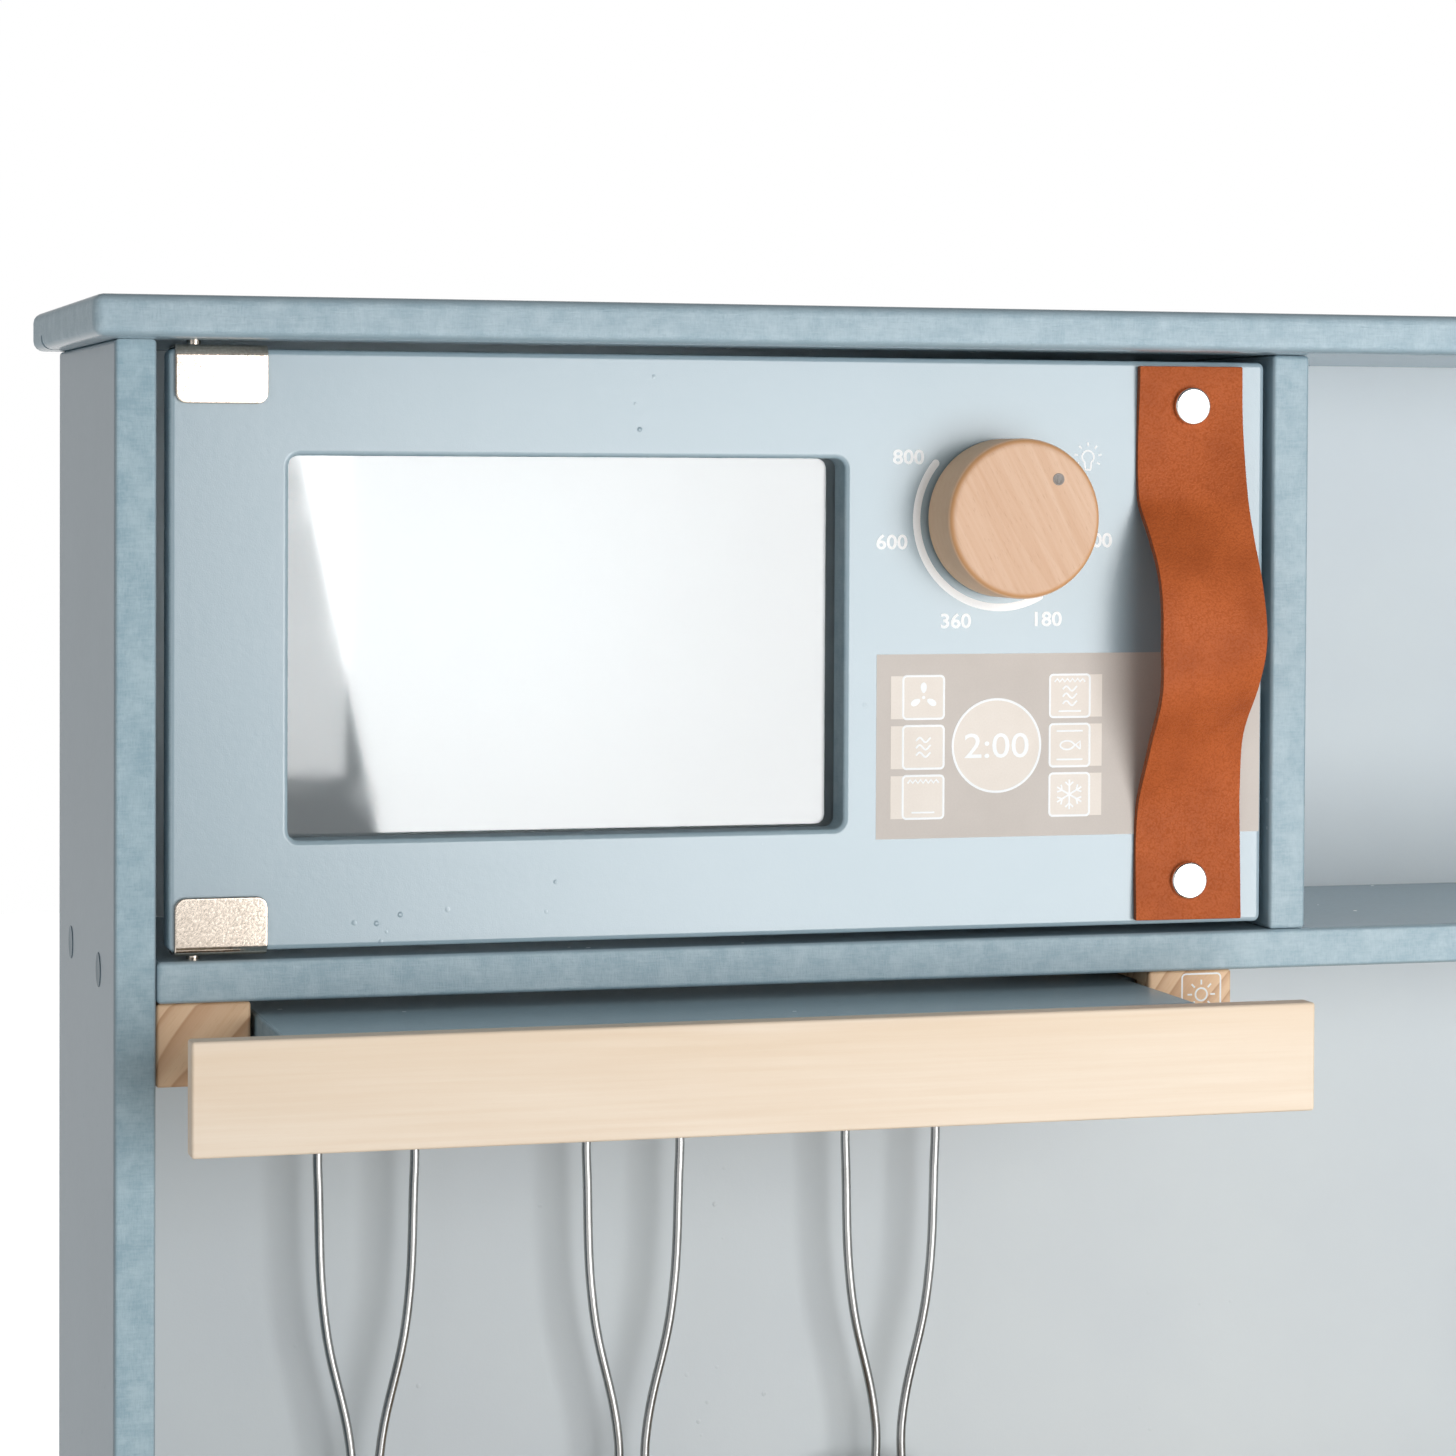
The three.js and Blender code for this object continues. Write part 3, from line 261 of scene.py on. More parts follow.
class Effects:
    """The effects that several finishes share, each built once."""

    def __init__(self) -> None:
        """Build every effect."""
        self.cut_edge = self.make_cut_edge()
        self.fibre = self.make_fibre()
        self.stipple = self.make_stipple()
        self.grain = self.make_grain()
        self.pebble = self.make_pebble()
        self.wear = self.make_wear()

    def make_cut_edge(self) -> Tree:
        """Build the mask of a board's narrow sides, told by their direction.

        Returns:
            The effect.
        """
        net, given, taken = new_effect("cut edge", {"Through": VECTOR}, ["Mask"])
        flatness = net.sum("ABSOLUTE", net.dot(net.coordinates("Normal"), given.outputs["Through"]))
        net.feed(taken, {"Mask": net.span(flatness, 0.45, 0.95, 1.0, 0.0)})
        return net.tree

    def make_fibre(self) -> Tree:
        """Build the woven look of paint soaked into a sawn fibreboard edge.

        Returns:
            The effect.
        """
        net, given, taken = new_effect("soaked fibre", {"Vector": VECTOR}, ["Tone", "Height"])
        vector = given.outputs["Vector"]
        along = net.noise(net.place((230, 230, 1900), source=vector), 1.0, 3.0, 0.65)
        across = net.noise(net.place((2300, 2300, 330), source=vector), 1.0, 3.0, 0.65)
        woven = net.times(net.plus(along, across), 0.5)
        clouds = net.span(net.noise(vector, 130.0, 4.0, 0.7), 0.32, 0.68)
        tone = net.sum("ADD", net.span(woven, 0.38, 0.62, -0.3, 0.3), clouds, clamp=True)
        net.feed(taken, {"Tone": tone, "Height": woven})
        return net.tree

    def make_stipple(self) -> Tree:
        """Build the low texture and the few dust nibs of sprayed paint.

        Returns:
            The effect.
        """
        net, given, taken = new_effect("sprayed paint", {"Vector": VECTOR}, ["Height", "Clouds"])
        vector = given.outputs["Vector"]
        peel = net.noise(vector, 420.0, 3.0, 0.55)
        grit = net.noise(vector, 2600.0, 2.0, 0.6)
        rare = net.span(net.noise(vector, 21.0, 1.0), 0.62, 0.7)
        nibs = net.times(net.span(net.cells(vector, 130.0), 0.05, 0.11, 1.0, 0.0), rare)
        body = net.plus(net.times(peel, 0.6), net.times(grit, 0.4))
        clouds = net.span(net.noise(vector, 14.0, 4.0, 0.6), 0.35, 0.65)
        net.feed(taken, {"Height": net.plus(body, net.times(nibs, 3.0)), "Clouds": clouds})
        return net.tree

    def make_grain(self) -> Tree:
        """Build a planed timber's growth bands, streaks and pores, along the vector's X.

        Returns:
            The effect.
        """
        inputs = {"Vector": VECTOR, "Band Width": FLOAT, "Wander": FLOAT}
        net, given, taken = new_effect("timber grain", inputs, ["Bands", "Streaks", "Pores", "Clouds"])
        vector = given.outputs["Vector"]
        drift = net.noise(net.place((5, 24, 24), source=vector), 1.0, 2.0, 0.5)
        apart = net.apart(vector)
        spread = net.plus(apart["Y"], net.times(apart["Z"], 0.6))
        bent = net.plus(spread, net.times(drift, given.outputs["Wander"]))
        phase = net.sum("FRACT", net.sum("DIVIDE", bent, given.outputs["Band Width"]))
        late = net.sum("POWER", phase, 2.6)
        dashes = net.noise(net.place((330, 3600, 3600), source=vector), 1.0, 1.0, 0.4)
        net.feed(taken, {
            "Bands": net.times(late, net.span(phase, 0.93, 1.0, 1.0, 0.0)),
            "Streaks": net.noise(net.place((14, 620, 620), source=vector), 1.0, 4.0, 0.62),
            "Pores": net.span(dashes, 0.64, 0.74),
            "Clouds": net.noise(net.place((9, 40, 40), source=vector), 1.0, 3.0, 0.55),
        })
        return net.tree

    def make_pebble(self) -> Tree:
        """Build the pebbled skin of leather, with finer creases between the pebbles.

        Returns:
            The effect.
        """
        net, given, taken = new_effect("leather pebble", {"Vector": VECTOR}, ["Height", "Creases", "Clouds"])
        vector = given.outputs["Vector"]
        wobble = net.add("ShaderNodeTexNoise", {"Vector": vector, "Scale": 700.0}).outputs["Color"]
        small = net.add("ShaderNodeVectorMath", {0: wobble, "Scale": 0.0012}, operation="SCALE")
        bent = net.add("ShaderNodeVectorMath", {0: vector, 1: small.outputs[0]}, operation="ADD")
        inputs = {"Vector": bent.outputs[0], "Scale": 1500.0, "Smoothness": 0.35}
        skin = net.add("ShaderNodeTexVoronoi", feature="SMOOTH_F1")
        net.feed(skin, inputs)
        fine = net.noise(vector, 3400.0, 2.0, 0.6)
        distance = skin.outputs["Distance"]
        net.feed(taken, {
            "Height": net.sum("SUBTRACT", net.times(fine, 0.35), distance),
            "Creases": net.span(distance, 0.42, 0.75),
            "Clouds": net.noise(vector, 60.0, 4.0, 0.6),
        })
        return net.tree

    def make_wear(self) -> Tree:
        """Build the mask of rubbed edges, broken up by noise.

        Returns:
            The effect.
        """
        net, given, taken = new_effect("rubbed edge", {"Radius": FLOAT}, ["Mask"])
        soft = net.add("ShaderNodeBevel", {"Radius": given.outputs["Radius"]}, samples=4)
        true = net.add("ShaderNodeNewGeometry").outputs["True Normal"]
        bend = net.span(net.dot(soft.outputs["Normal"], true), 0.8, 0.99, 1.0, 0.0)
        broken = net.span(net.noise(net.place(), 260.0, 3.0, 0.6), 0.35, 0.6)
        net.feed(taken, {"Mask": net.times(bend, broken)})
        return net.tree


def new_material(name: str) -> tuple[Finish, Net, Node]:
    """Start a material.

    Args:
        name: Its name.
    Returns:
        The material, its net and its Principled node.
    """
    material = bpy.data.materials.new(name)
    material.use_nodes = True
    return material, Net(material.node_tree), material.node_tree.nodes["Principled BSDF"]


@dataclass(frozen=True)
class Paint:
    """Satin paint on fibreboard, soaked in and darker on the sawn edges."""

    name: str
    through: Axis = Axis.Y
    face: int = 0x98ACB6
    deep: int = 0x95AAB4
    edge_light: int = 0xA6BBC4
    edge_dark: int = 0x8DA7B3
    roughness: float = 0.25
    spread: float = 0.03
    edge_roughness: float = 0.32
    gloss: float = 0.95
    peel_depth: float = 0.00006
    fibre_depth: float = 0.00025

    def make(self, effects: Effects) -> Finish:
        """Build the material.

        Args:
            effects: The shared effects.
        Returns:
            The material.
        """
        material, net, shader = new_material(self.name)
        where = net.place()
        cut = net.effect(effects.cut_edge, Through=self.through.value)["Mask"]
        fibre = net.effect(effects.fibre, Vector=where)
        spray = net.effect(effects.stipple, Vector=where)
        face = net.mix(spray["Clouds"], hue(self.deep), hue(self.face))
        edge = net.mix(fibre["Tone"], hue(self.edge_dark), hue(self.edge_light))
        smooth, dull = self.roughness - self.spread, self.roughness + self.spread
        satin = net.span(spray["Height"], 0.2, 0.8, smooth, dull)
        rise = net.times(net.times(fibre["Height"], cut), self.fibre_depth / self.peel_depth)
        net.feed(shader, {
            "Specular IOR Level": self.gloss,
            "Base Color": net.mix(cut, face, edge),
            "Roughness": net.plus(net.times(cut, self.edge_roughness), satin),
            "Normal": net.bump(net.plus(rise, spray["Height"]), self.peel_depth),
        })
        return material


@dataclass(frozen=True)
class Timber:
    """Planed, lightly oiled wood; its grain runs along one axis of the piece."""

    name: str
    along: Axis
    light: int
    dark: int
    band: int
    pore: int
    band_width: float = 0.007
    band_share: float = 0.35
    pore_share: float = 0.4
    streak_share: float = 0.8
    wander: float = 0.03
    roughness: float = 0.5
    spread: float = 0.12
    tilt: float = 0.0
    rub: float = 0.25
    rub_radius: float = 0.0012
    rim: Optional[int] = None
    # The flank colour is painted light: it lightens a round piece's turned side to lift its shade.
    painted_flank_light: int = 0xFAD0A8
    painted_flank_light_share: float = 0.6
    rim_share: float = 3.4
    depth: float = 0.00012

    def turn(self) -> Point:
        """Give the turn that lays the pattern's X along the grain."""
        turns = {Axis.Z: (0.0, QUARTER_TURN + self.tilt, 0.0), Axis.Y: (0.0, 0.0, QUARTER_TURN + self.tilt)}
        return turns.get(self.along, (0.0, self.tilt, 0.0))

    def sanded(self, net: Net, effects: Effects, wood: Socket) -> Socket:
        """Paint light on the turned side of a round piece, lifting its shade, and darken the ring where its
        face begins.

        Args:
            net: The material's net.
            effects: The shared effects.
            wood: The wood's colour.
        Returns:
            The colour with side and ring.
        """
        side = net.effect(effects.cut_edge, Through=Axis.Y.value)["Mask"]
        rest = net.sum("SUBTRACT", 1.0, side)
        ring = net.sum("MULTIPLY", net.times(side, self.rim_share), rest, clamp=True)
        return net.mix(ring, net.mix(net.times(side, self.painted_flank_light_share), wood, hue(self.painted_flank_light)), hue(self.rim))

    def make(self, effects: Effects) -> Finish:
        """Build the material.

        Args:
            effects: The shared effects.
        Returns:
            The material.
        """
        material, net, shader = new_material(self.name)
        where = net.place(turn=self.turn())
        grain = net.effect(effects.grain, Vector=where, Band_Width=self.band_width, Wander=self.wander)
        tone = net.span(net.mix(0.45, grain["Streaks"], grain["Clouds"]), 0.36, 0.64)
        wood = net.mix(net.times(tone, self.streak_share), hue(self.light), hue(self.dark))
        wood = net.mix(net.times(grain["Bands"], self.band_share), wood, hue(self.band))
        wood = net.mix(net.times(grain["Pores"], self.pore_share), wood, hue(self.pore))
        # The lighter turned side is painted light; the ring is painted darker.
        if self.rim:
            wood = self.sanded(net, effects, wood)
        rubbed = net.effect(effects.wear, Radius=self.rub_radius)["Mask"]
        pores = net.times(grain["Pores"], self.pore_share)
        height = net.sum("SUBTRACT", net.times(grain["Streaks"], 0.4), pores)
        net.feed(shader, {
            "Base Color": net.mix(net.times(rubbed, self.rub), wood, hue(self.band)),
            "Roughness": net.span(grain["Streaks"], 0.3, 0.7, self.roughness, self.roughness + self.spread),
            "Normal": net.bump(height, self.depth),
        })
        return material


@dataclass(frozen=True)
class Leather:
    """Tan leather with a pebbled skin and raw, fibrous cut edges."""

    name: str
    light: int = 0xBC5F2D
    dark: int = 0xAA5325
    crease: int = 0x96451B
    raw: int = 0x8E4A26
    crease_share: float = 0.38
    roughness: float = 0.52
    spread: float = 0.2
    sheen: float = 0.22
    pebble_depth: float = 0.00014

    def make(self, effects: Effects) -> Finish:
        """Build the material.

        Args:
            effects: The shared effects.
        Returns:
            The material.
        """
        material, net, shader = new_material(self.name)
        skin = net.effect(effects.pebble, Vector=net.place())
        cut = net.span(net.sum("ABSOLUTE", net.apart(net.coordinates("Normal"))["X"]), 0.5, 0.8)
        tone = net.mix(net.span(skin["Clouds"], 0.35, 0.65), hue(self.dark), hue(self.light))
        creased = net.mix(net.times(skin["Creases"], self.crease_share), tone, hue(self.crease))
        dull = self.roughness + self.spread
        net.feed(shader, {
            "Specular IOR Level": self.sheen,
            "Base Color": net.mix(cut, creased, hue(self.raw)),
            "Roughness": net.span(skin["Creases"], 0.0, 1.0, self.roughness, dull),
            "Normal": net.bump(skin["Height"], self.pebble_depth),
        })
        return material


@dataclass(frozen=True)
class Metal:
    """Plated or polished metal with a fine surface texture."""

    name: str
    light: int
    dark: int
    roughness: float
    spread: float
    grit_scale: float
    depth: float = 0.00001
    stretch: Point = (1.0, 1.0, 1.0)
    rub: float = 0.4
    rub_radius: float = 0.0006

    def make(self, effects: Effects) -> Finish:
        """Build the material.

        Args:
            effects: The shared effects.
        Returns:
            The material.
        """
        material, net, shader = new_material(self.name)
        where = net.place(self.stretch)
        grit = net.noise(where, self.grit_scale, 3.0, 0.6)
        clouds = net.noise(where, self.grit_scale / 60, 3.0, 0.55)
        metal = net.mix(net.span(net.mix(0.5, grit, clouds), 0.35, 0.65), hue(self.dark), hue(self.light))
        rubbed = net.effect(effects.wear, Radius=self.rub_radius)["Mask"]
        net.feed(shader, {
            "Metallic": 1.0,
            "Base Color": net.mix(net.times(rubbed, self.rub), metal, hue(self.light)),
            "Roughness": net.span(grit, 0.3, 0.7, self.roughness - self.spread, self.roughness + self.spread),
            "Normal": net.bump(grit, self.depth),
        })
        return material


@dataclass(frozen=True)
class Coat:
    """A plain moulded, enamelled or printed colour with fine grit and soft clouds."""

    name: str
    light: int
    dark: int
    roughness: float
    smoother: float = 0.04
    duller: float = 0.06
    grit_scale: float = 1800.0
    cloud_scale: float = 45.0
    fleck_scale: float = 900.0
    fleck_share: float = 0.0
    fleck: int = 0xFFFFFF
    rub: float = 0.08
    rub_radius: float = 0.0008
    depth: float = 0.00002

    def make(self, effects: Effects) -> Finish:
        """Build the material.

        Args:
            effects: The shared effects.
        Returns:
            The material.
        """
        material, net, shader = new_material(self.name)
        where = net.place()
        grit = net.noise(where, self.grit_scale, 2.0, 0.6)
        clouds = net.noise(where, self.cloud_scale, 3.0, 0.6)
        base = net.mix(net.span(net.mix(0.35, clouds, grit), 0.36, 0.64), hue(self.dark), hue(self.light))
        specks = net.span(net.cells(where, self.fleck_scale), 0.1, 0.2, 1.0, 0.0)
        rubbed = net.effect(effects.wear, Radius=self.rub_radius)["Mask"]
        matt = net.span(grit, 0.3, 0.7, self.roughness - self.smoother, self.roughness + self.duller)
        net.feed(shader, {
            "Base Color": net.mix(net.times(specks, self.fleck_share), base, hue(self.fleck)),
            "Roughness": net.sum("SUBTRACT", matt, net.times(rubbed, self.rub)),
            "Normal": net.bump(grit, self.depth),
        })
        return material


@dataclass(frozen=True)
class Acrylic:
    """A clear, faintly smudged window pane."""

    name: str
    tint: int = 0xF4F8F9
    film: int = 0xDDE5E8
    index: float = 1.84
    haze: float = 0.03
    smudge: float = 0.03
    film_scale: float = 38.0
    dust_scale: float = 420.0

    def make(self) -> Finish:
        """Build the material.

        Returns:
            The material.
        """
        material, net, shader = new_material(self.name)
        where = net.place()
        smears = net.noise(where, self.film_scale, 4.0, 0.6)
        film = net.span(smears, 0.5, 0.72, self.haze, self.haze + self.smudge)
        dust = net.span(net.cells(where, self.dust_scale), 0.03, 0.06, self.smudge, 0.0)
        net.feed(shader, {
            "Transmission Weight": 1.0,
            "IOR": self.index,
            "Base Color": net.mix(film, hue(self.tint), hue(self.film)),
            "Roughness": net.plus(film, dust),
        })
        return material


class Finishes:
    """Every finish of the kitchen, built once."""

    def __init__(self, effects: Effects) -> None:
        """Build the finishes.

        Args:
            effects: The shared effects.
        """
        self.paint = {axis: Paint(f"paint_{axis.name}", axis).make(effects) for axis in Axis}
        # Side boards: a copy of the blue paint with painted shade and painted light. Its face is greyer, as
        # painted shade for the boards' shaded sides, and its sawn edges are lighter, as painted light for the
        # sheen that its low gloss loses.
        side = dict(face=0x98A8B1, deep=0x96A5AE, edge_light=0xAFC5CE, edge_dark=0x96B0BC)
        self.side_paint = Paint("side_paint", Axis.X, roughness=0.4, gloss=0.2, **side).make(effects)
        # Top board: its sawn edges are painted lighter than the other boards', as painted light from above
        # that no lamp gives.
        top = dict(edge_light=0xABC0CA, edge_dark=0x94ADB9)
        self.top_paint_with_painted_light = Paint("top_board_painted_light", Axis.Z, **top).make(effects)
        pale = dict(face=0xD2D9DC, deep=0xCFD6DA, edge_light=0xC6D2D8, edge_dark=0xA9B8C0)
        self.pale = Paint("pale_paint", Axis.Y, roughness=0.5, gloss=0.5, **pale).make(effects)
        # Hood slab: a copy of the blue paint whose face is painted lighter, as painted light that lifts the
        # shade under the shelf. Its sawn edges are darker.
        deep = dict(face=0xA3B9C3, deep=0x9EB5BF, edge_light=0x8CA5B0, edge_dark=0x6B8896)
        self.deep = Paint("deep_paint", Axis.Z, gloss=0.5, **deep).make(effects)
        self.timbers(effects)
        self.leather = Leather("strap_leather").make(effects)
        self.nickel = Metal("nickel_plate", 0xDDD1C4, 0xACA093, 0.13, 0.03, 1300.0, 0.00003).make(effects)
        self.polished = Metal("polished_steel", 0xF0F0EE, 0xD2D2D0, 0.16, 0.04, 3000.0).make(effects)
        self.wire = Metal("steel_wire", 0xB4B4B3, 0x8F8F8E, 0.2, 0.05, 2600.0).make(effects)
        drawn = dict(depth=0.00002, stretch=(1.0, 42.0, 42.0))
        self.brushed = Metal("brushed_steel", 0xDFE0E1, 0xC2C5C7, 0.4, 0.07, 60.0, **drawn).make(effects)
        self.acrylic = Acrylic("window_acrylic").make()
        flecks = dict(fleck_share=0.35, fleck=0x6A7074)
        self.hob = Coat("hob_enamel", 0x35393C, 0x2A2E31, 0.3, **flecks).make(effects)
        self.plastic = Coat("white_plastic", 0xF0F0EC, 0xE4E4DF, 0.42).make(effects)
        self.cap = Coat("fixing_cap_paint", 0x5C7683, 0x4B6471, 0.45).make(effects)
        self.white_ink = Coat("white_ink", 0xFAFBFB, 0xEFF2F3, 0.5).make(effects)
        self.beige_ink = Coat("beige_ink", 0xC5BCB4, 0xBEB5AD, 0.45).make(effects)
        self.cream_ink = Coat("cream_ink", 0xE6DDD3, 0xDFD5CA, 0.45).make(effects)
        self.dark_ink = Coat("dark_ink", 0x8D8680, 0x7D7670, 0.4).make(effects)

    def timbers(self, effects: Effects) -> None:
        """Build the woods.

        Args:
            effects: The shared effects.
        """
        beech = dict(light=0xDFBB9E, dark=0xD2A786, band=0xC08A5E, pore=0xA87652)
        beech |= dict(band_width=0.005, band_share=0.2, pore_share=0.22)
        face = dict(tilt=math.radians(28), rub=0.2, rim=0xCE9560)
        self.knob = Timber("beech_face", Axis.Z, **beech, **face).make(effects)
        self.beech = Timber("beech", Axis.X, **beech).make(effects)
        pine = dict(light=0xEDCCA8, dark=0xE0B890, band=0xB07850, pore=0xC29465, pore_share=0.2)
        ends = dict(tilt=math.radians(-38), band_width=0.0052, band_share=0.75, wander=0.05)
        self.block = Timber("pine_block", Axis.Z, **pine, **ends).make(effects)
        self.pine = Timber("pine", Axis.X, band_width=0.006, band_share=0.5, **pine).make(effects)
        poplar = dict(light=0xECDCC8, dark=0xE5D0B8, band=0xDDC19D, pore=0xD9BE97, streak_share=0.75)
        calm = dict(band_width=0.021, band_share=0.34, pore_share=0.06, wander=0.012)
        self.poplar = Timber("poplar", Axis.X, **poplar, **calm).make(effects)
        oiled = dict(light=0xE9CDA6, dark=0xDDBA8C, band=0xBC8D5B, pore=0xB98B5E)
        bands = dict(band_width=0.016, band_share=0.4, pore_share=0.3, wander=0.06)
        self.worktop = Timber("worktop_timber", Axis.X, **oiled, **bands).make(effects)


def eased(table: Sequence[Flat], place: float) -> float:
    """Read a smooth curve through a few points.

    Args:
        table: The points, place and value, in rising order of place.
        place: Where it is read.
    Returns:
        The value there.
    """
    last = len(table) - 2
    index = min(max(sum(1 for at, _ in table if at <= place) - 1, 0), last)
    (start, a), (end, b) = table[index], table[index + 1]
    before, after = table[max(index - 1, 0)], table[min(index + 2, last + 1)]
    reach = end - start
    t = (place - start) / reach
    leave = (b - before[1]) / (end - before[0]) * reach
    meet = (after[1] - a) / (after[0] - start) * reach
    bend = t * t * (3 - 2 * t)
    return a + (b - a) * bend + leave * t * (1 - t) ** 2 - meet * t * t * (1 - t)


def hold(name: str, data: bpy.types.ID) -> bpy.types.Object:
    """Put a new object into the scene.

    Args:
        name: Its name.
        data: Its mesh, curve, lamp or camera.
    Returns:
        The object.
    """
    holder = bpy.data.objects.new(name, data)
    bpy.context.scene.collection.objects.link(holder)
    return holder


def mesh_of(bm: Shape, name: str) -> bpy.types.Mesh:
    """Turn a shape into a mesh.

    Args:
        bm: The shape; it is freed.
        name: The mesh's name.
    Returns:
        The mesh.
    """
    mesh = bpy.data.meshes.new(name)
    bm.to_mesh(mesh)
    bm.free()
    return mesh


def shape_of(holder: bpy.types.Object) -> Shape:
    """Take an object's shape, with its modifiers or its curve drawn.

    Args:
        holder: The object.
    Returns:
        The shape.
    """
    bpy.context.view_layer.update()
    drawn = bpy.data.meshes.new_from_object(holder.evaluated_get(bpy.context.evaluated_depsgraph_get()))
    bm = bmesh.new()
    bm.from_mesh(drawn)
    bpy.data.meshes.remove(drawn)
    return bm


def settle(name: str, bm: Shape, finish: Finish, body: str, slot: Slot, *replaced: str,
           weighted: bool = True) -> None:
    """Turn a shape into a finished piece that rides a body.

    Args:
        name: The piece's name.
        bm: Its shape, in place; it is freed.
        finish: Its material.
        body: The body that it rides on.
        slot: The record's slot of its finish; not used.
        replaced: The nodes that it stands for.
        weighted: Whether its flat faces keep a flat look beside rounded edges.
    """
    bmesh.ops.remove_doubles(bm, verts=bm.verts, dist=MERGE)
    bmesh.ops.recalc_face_normals(bm, faces=bm.faces)
    mesh = mesh_of(bm, name)
    mesh.polygons.foreach_set("use_smooth", [True] * len(mesh.polygons))
    mesh.set_sharp_from_angle(angle=SMOOTH_BELOW)
    mesh.materials.append(finish)
    piece = hold(name, mesh)
    if weighted:
        piece.modifiers.new("weighted normals", "WEIGHTED_NORMAL").keep_sharp = True
    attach(piece, body)
    if replaced:
        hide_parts(*replaced)
    log.info("%s: %d faces on %s", name, len(mesh.polygons), body)


def dress(node: str, finish: Finish) -> None:
    """Give a node that stays its finish.

    Args:
        node: The node.
        finish: Its material.
    """
    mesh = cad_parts[node].data
    mesh.materials.clear()
    mesh.materials.append(finish)
    log.info("%s: the solid, dressed", node)


def extent(node: str) -> tuple[Vector, Vector]:
    """Give a node's lowest and highest corners."""
    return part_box(node)


def middle(node: str) -> Vector:
    """Give the middle of a node's box."""
    return sum(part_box(node), Vector()) / 2


def round_edges(bm: Shape, edges: Iterable[bmesh.types.BMEdge], radius: float, steps: int) -> None:
    """Round edges of a solid by a radius, in a few steps."""
    bmesh.ops.bevel(bm, geom=list(edges), offset=radius, offset_type="OFFSET", segments=steps, profile=0.5,
                    affect="EDGES", material=-1, clamp_overlap=True)


def round_corners(bm: Shape, corners: Iterable[bmesh.types.BMVert], radius: float, steps: int) -> dict:
    """Round corners of a flat face by a radius, in a few steps, and give what the bevel gives."""
    return bmesh.ops.bevel(bm, geom=list(corners), offset=radius, offset_type="OFFSET", segments=steps,
                           profile=0.5, affect="VERTICES", material=-1)


def sharp_edges(bm: Shape) -> Edges:
    """Give the edges where two faces meet at a steep angle."""
    return [e for e in bm.edges if e.is_manifold and e.calc_face_angle(0) > SMOOTH_BELOW * 2]


def edges_across(bm: Shape, axis: int) -> Edges:
    """Give the edges that run across an axis, 0 for X, 1 for Y and 2 for Z."""
    return [e for e in bm.edges if abs(e.verts[0].co[axis] - e.verts[1].co[axis]) < MERGE]


def rounded_block(low: Sequence[float], high: Sequence[float], radius: float, steps: int = 4) -> Shape:
    """Make a block with rounded edges.

    Args:
        low: Its lowest corner.
        high: Its highest corner.
        radius: The radius of its edges.
        steps: The steps round an edge.
    Returns:
        The shape.
    """
    bm = bmesh.new()
    bmesh.ops.create_cube(bm, size=1.0)
    bmesh.ops.scale(bm, vec=Vector(high) - Vector(low), verts=bm.verts)
    bmesh.ops.translate(bm, vec=(Vector(low) + Vector(high)) / 2, verts=bm.verts)
    round_edges(bm, bm.edges, radius, steps)
    return bm


def rectangle(low: Sequence[float], high: Sequence[float], inset: float = 0.0) -> list[Flat]:
    """Give a rectangle's corners in order.

    Args:
        low: Its lowest corner.
        high: Its highest corner.
        inset: How far its sides move in.
    Returns:
        The corners, from the lowest.
    """
    left, down, right, top = low[0] + inset, low[1] + inset, high[0] - inset, high[1] - inset
    return [(left, down), (right, down), (right, top), (left, top)]


def corner_loop(bm: Shape, corners: Sequence[Point], radius: float, steps: int) -> Edges:
    """Make a closed loop of edges with round corners.

    Args:
        bm: The shape to add it to.
        corners: Its corner points, in order.
        radius: The radius of every corner.
        steps: The steps round a corner.
    Returns:
        The loop's edges.
    """
    face = bm.faces.new([bm.verts.new(corner) for corner in corners])
    if radius > 0:
        kept = set(round_corners(bm, face.verts, radius, steps)["verts"])
        face = next(f for f in bm.faces if set(f.verts) <= kept and len(f.verts) == len(kept))
    edges = list(face.edges)
    bmesh.ops.delete(bm, geom=[face], context="FACES_ONLY")
    return edges


def upright_loop(bm: Shape, corners: Sequence[Flat], depth: float, radius: float, steps: int = 6) -> Edges:
    """Make an upright loop with round corners at one depth."""
    return corner_loop(bm, [(x, depth, z) for x, z in corners], radius, steps)


def level_loop(bm: Shape, corners: Sequence[Flat], height: float, radius: float, steps: int = 8) -> Edges:
    """Make a level loop with round corners at one height."""
    return corner_loop(bm, [(x, y, height) for x, y in corners], radius, steps)


def fill(bm: Shape, edges: Edges) -> Faces:
    """Close a loop of edges with one face."""
    return bmesh.ops.contextual_create(bm, geom=edges)["faces"]


def thicken(bm: Shape, faces: Iterable[bmesh.types.BMFace], along: Sequence[float]) -> None:
    """Turn flat faces into a solid.

    Args:
        bm: The shape.
        faces: The flat faces.
        along: The way and distance that they are drawn.
    """
    drawn = bmesh.ops.extrude_face_region(bm, geom=list(faces), use_keep_orig=True)["geom"]
    bmesh.ops.translate(bm, vec=along, verts=[v for v in drawn if isinstance(v, bmesh.types.BMVert)])


def wall(bm: Shape, thickness: float, edge: float) -> None:
    """Give an open sheet its thickness, and round its rims.

    Args:
        bm: The shape, with its faces turned one way.
        thickness: The wall's thickness.
        edge: The radius of its rims.
    """
    bmesh.ops.solidify(bm, geom=list(bm.faces), thickness=thickness)
    bmesh.ops.recalc_face_normals(bm, faces=bm.faces)
    round_edges(bm, sharp_edges(bm), edge, 2)


def arc_points(centre: Flat, radii: Flat, start: float, end: float, steps: int) -> list[Flat]:
    """Give points on an arc of an ellipse.

    Args:
        centre: Its centre.
        radii: Its half width and half height.
        start: The angle of the first point.
        end: The angle of the last point.
        steps: The steps between them.
    Returns:
        The points, one more than the steps.
    """
    angles = [start + (end - start) * i / steps for i in range(steps + 1)]
    return [(centre[0] + radii[0] * math.cos(a), centre[1] + radii[1] * math.sin(a)) for a in angles]


